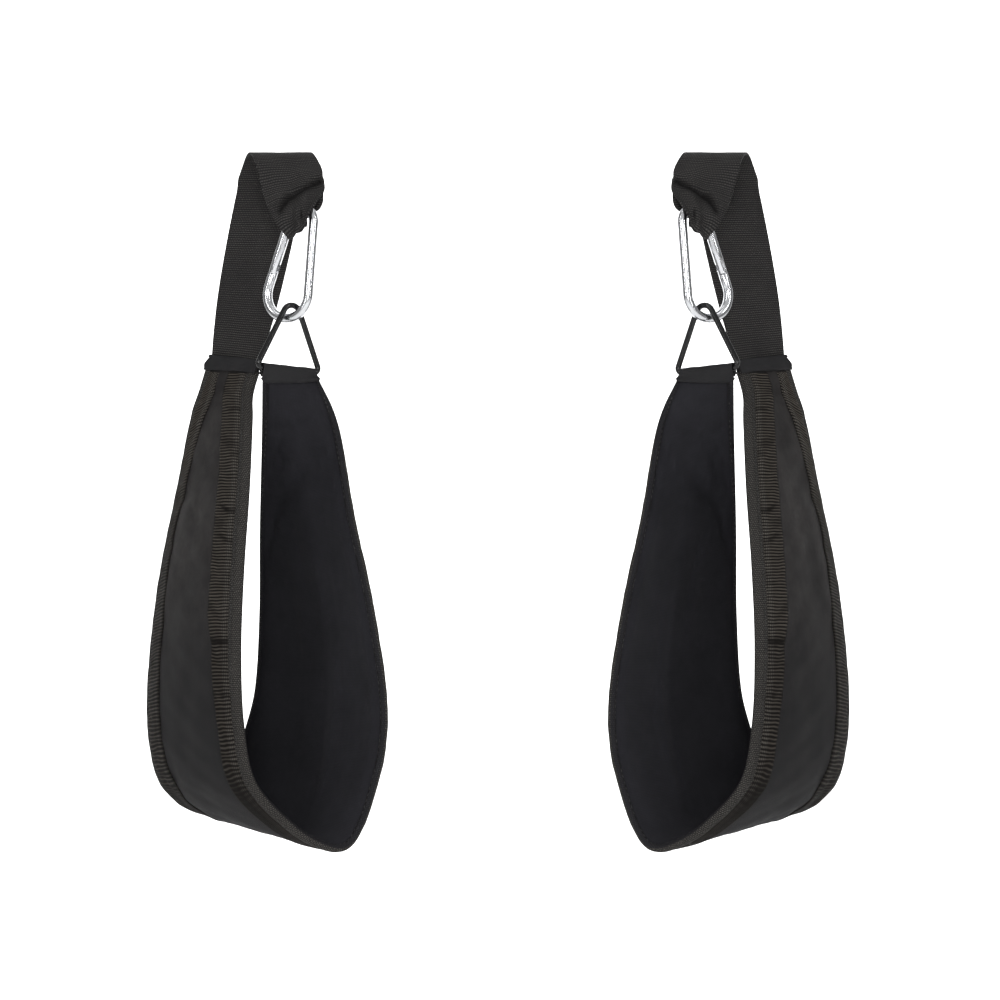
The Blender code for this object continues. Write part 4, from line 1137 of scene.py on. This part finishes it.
def build_hook(label):
    """The hook's bent wire, with its two flat tongues, the rivet's bore and the latch pin's notch."""
    side = SIDES[label]
    hook = placed(side, HOOK)
    mirror = Matrix.Diagonal((side, 1, 1))
    along = (hook_leg(1.0) - hook_leg(0.0)).normalized()
    hinge = hook_leg(HINGE_FROM_EYE)
    latch = hook_leg(HINGE_FROM_EYE + GATE_LENGTH)
    start_points, start_shares = round_end(hinge, -along, WIRE_RADIUS)
    end_points, end_shares = round_end(latch, along, WIRE_RADIUS)
    path = start_points + arc_points((0, 0), EYE_RADIUS, LEG_ANGLE, pi - LEG_ANGLE, 40)
    path += arc_points((0, -EYE_TO_BOW), BOW_RADIUS, pi - LEG_ANGLE, 2 * pi + LEG_ANGLE, 70)
    path += end_points[::-1]
    shares = start_shares + [1.0] * (len(path) - len(start_shares) - len(end_shares)) + end_shares[::-1]
    body = tube_mesh(f"{label}_hook_wire", [tuple(mirror @ p) for p in path], WIRE_RADIUS, ROUND_SIDES,
                     "zinc_steel", hook, shares=shares)
    gate = hook @ placed(side, frame_from(hinge, Vector((1, 0, 0)), -along))
    past = WIRE_RADIUS + 0.001
    shoulder = WIRE_RADIUS + 0.0006
    half = TONGUE_THICKNESS / 2
    cutters = []
    for low, high in ((-past, shoulder), (-GATE_LENGTH - shoulder, -GATE_LENGTH + past)):
        for inner, outer in ((half, CUT_REACH), (-CUT_REACH, -half)):
            cutters.append(cutter_box((-CUT_REACH, inner, low), (CUT_REACH, outer, high), gate))
    cutters.append(cutter_rod(RIVET_DIAMETER / 2 + FIT_GAP, 0, gate))
    notch = LATCH_PIN_DIAMETER / 2 + FIT_GAP + 0.0001
    inward = sorted((side * -CUT_REACH, 0.0))
    cutters.append(cutter_box((inward[0], -CUT_REACH, -GATE_LENGTH - notch),
                              (inward[1], CUT_REACH, -GATE_LENGTH + notch), gate))
    cutters.append(cutter_rod(notch, -GATE_LENGTH, gate))
    carve(body, cutters)
    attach(body, f"{label}_hook")
    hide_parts(f"{label}_carabiner_body")
    build_sleeve(label, gate)


def build_sleeve(label, gate):
    """The gate's round sleeve, forked at both ends. In its frame the rivet lies along Y, the latch below."""
    end = -GATE_LENGTH - WIRE_RADIUS
    dome = np.radians(np.linspace(90, 0, 10))
    profile = [(WIRE_RADIUS * cos(a), WIRE_RADIUS * sin(a)) for a in dome]
    profile += [(WIRE_RADIUS, end / 2), (WIRE_RADIUS, end + 0.0006), (WIRE_RADIUS - 0.0002, end + 0.0002),
                (WIRE_RADIUS - 0.0006, end)]
    sides = ROUND_SIDES
    verts = [(0, 0, WIRE_RADIUS)]
    for radius, z in profile[1:]:
        for angle in (2 * pi * j / sides for j in range(sides)):
            verts.append((radius * cos(angle), radius * sin(angle), z))
    verts.append((0, 0, end))
    last = 1 + (len(profile) - 2) * sides
    faces = []
    for j in range(sides):
        k = (j + 1) % sides
        faces.append((0, 1 + j, 1 + k))
        faces += [(a + j, a + sides + j, a + sides + k, a + k) for a in range(1, last, sides)]
        faces.append((last + j, len(verts) - 1, last + k))
    sleeve = mesh_object(f"{label}_gate_sleeve", verts, faces, "zinc_steel")
    sleeve.data.transform(gate)
    slot = (TONGUE_THICKNESS + 2 * FIT_GAP) / 2
    depth = WIRE_RADIUS + 0.0005
    press = 0.00005
    cutters = [cutter_box((-CUT_REACH, -slot, low), (CUT_REACH, slot, high), gate)
               for low, high in ((-depth, CUT_REACH), (end - 0.001, -GATE_LENGTH + depth))]
    cutters.append(cutter_rod(RIVET_DIAMETER / 2 + press, 0, gate))
    cutters.append(cutter_rod(LATCH_PIN_DIAMETER / 2 + press, -GATE_LENGTH, gate))
    carve(sleeve, cutters)
    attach(sleeve, f"{label}_gate")
    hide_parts(f"{label}_carabiner_gate")


def build_ring(label):
    corner = Vector((RING_WIDTH / 2 - RING_CORNER_RADIUS, RING_CORNER_RADIUS))
    apex = Vector((0, RING_HEIGHT - RING_APEX_RADIUS))
    line = apex - corner
    lean = atan2(line.y, line.x) - acos((RING_CORNER_RADIUS - RING_APEX_RADIUS) / line.length)
    points = arc_points(apex, RING_APEX_RADIUS, lean, pi - lean, 24)
    points += arc_points((-corner.x, corner.y), RING_CORNER_RADIUS, pi - lean, 1.5 * pi, 14)
    points += arc_points(corner, RING_CORNER_RADIUS, 1.5 * pi, 2 * pi + lean, 14)
    ring = tube_mesh(f"{label}_wire_ring", [tuple(p) for p in points], RING_WIRE / 2, 24, "black_steel",
                     placed(SIDES[label], RING), closed=True)
    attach(ring, f"{label}_ring")
    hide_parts(f"{label}_triangle_ring")


def finish_small_parts():
    """Gives the gate's small pieces, which keep their own shapes, the hook's finish."""
    for name in ("gate_rivet", "gate_latch_pin", "gate_spring", "gate_plunger"):
        for label in SIDES:
            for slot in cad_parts[f"{label}_{name}"].material_slots:
                slot.material = FINISHES["zinc_steel"]


# Studio


def build_backdrop():
    """A white floor that curves up into a wall."""
    material = bpy.data.materials.new("studio_white")
    material.use_nodes = True
    values = {"Base Color": (0.88, 0.88, 0.88, 1.0), "Roughness": 0.9,
              "Emission Color": (1.0, 1.0, 1.0, 1.0), "Emission Strength": 0.15}
    for name, value in values.items():
        material.node_tree.nodes["Principled BSDF"].inputs[name].default_value = value
    floor_z, back, radius, half_width = -0.95, 1.9, 0.6, 4.0
    profile = [(-4.0, floor_z), (back - radius, floor_z)]
    for angle in np.radians(np.linspace(0, 90, 12)):
        profile.append((back - radius + radius * sin(angle), floor_z + radius * (1 - cos(angle))))
    profile.append((back, 3.0))
    verts = [(x, y, z) for y, z in profile for x in (-half_width, half_width)]
    faces = [(i, i + 1, i + 3, i + 2) for i in range(0, len(verts) - 2, 2)]
    mesh = bpy.data.meshes.new("studio_floor")
    mesh.from_pydata(verts, [], faces)
    mesh.materials.append(material)
    mesh.shade_smooth()
    floor = add_object("studio_floor", mesh)


def build_world():
    """Light from all round: brighter towards the top, dimmer from the two sides."""
    world = bpy.data.worlds.new("studio")
    world.use_nodes = True
    n = Nodes(world.node_tree)
    view = n.add("SeparateXYZ", {"Vector": n.add("TexCoord", {}).outputs["Generated"]}).outputs
    rising = n.map_range(view["Z"], 0.12, 0.42, -0.6, 0.5)
    sideways = n.map_range(n.math("ABSOLUTE", view["X"]), 1.0, 0.5, 0.45, 0.75)
    background = world.node_tree.nodes["Background"]
    background.inputs["Color"].default_value = (1.0, 1.0, 1.0, 1.0)
    n.put(n.times(rising, sideways), background.inputs["Strength"])
    bpy.context.scene.world = world


def build_lights():
    """Area lights that face the straps, except for the one behind them, which lights the backdrop."""
    for name, place, size, watts in LIGHTS:
        lamp = bpy.data.lights.new(name, "AREA")
        lamp.shape = "RECTANGLE"
        lamp.size, lamp.size_y = size
        lamp.energy = watts
        obj = add_object(name, lamp)
        obj.location = place
        towards = Vector((0, 1.0, -0.1)) if name == "back" else Vector((0, 0, -0.25)) - Vector(place)
        obj.rotation_euler = towards.to_track_quat("-Z", "Y").to_euler()


def build_camera():
    lens = bpy.data.cameras.new("camera")
    lens.sensor_width = SENSOR_WIDTH
    lens.lens = SENSOR_WIDTH * CAMERA_DISTANCE / VIEW_WIDTH
    lens.clip_end = 50.0
    camera = add_object("camera", lens)
    camera.location = (0.0015, -CAMERA_DISTANCE, -0.239)
    camera.rotation_euler = (pi / 2, 0, 0)
    bpy.context.scene.camera = camera
    bpy.context.scene.view_settings.view_transform = "Standard"


build_backdrop()
build_world()
build_lights()
build_camera()
simulate_swell()
for strap in SIDES:
    build_shell(strap)
    for rim in ("near", "far"):
        build_band(strap, rim)
        build_binding(strap, rim)
    build_end_cover(strap)
    build_keeper(strap)
    build_webbing(strap)
    build_hook(strap)
    build_ring(strap)
finish_small_parts()
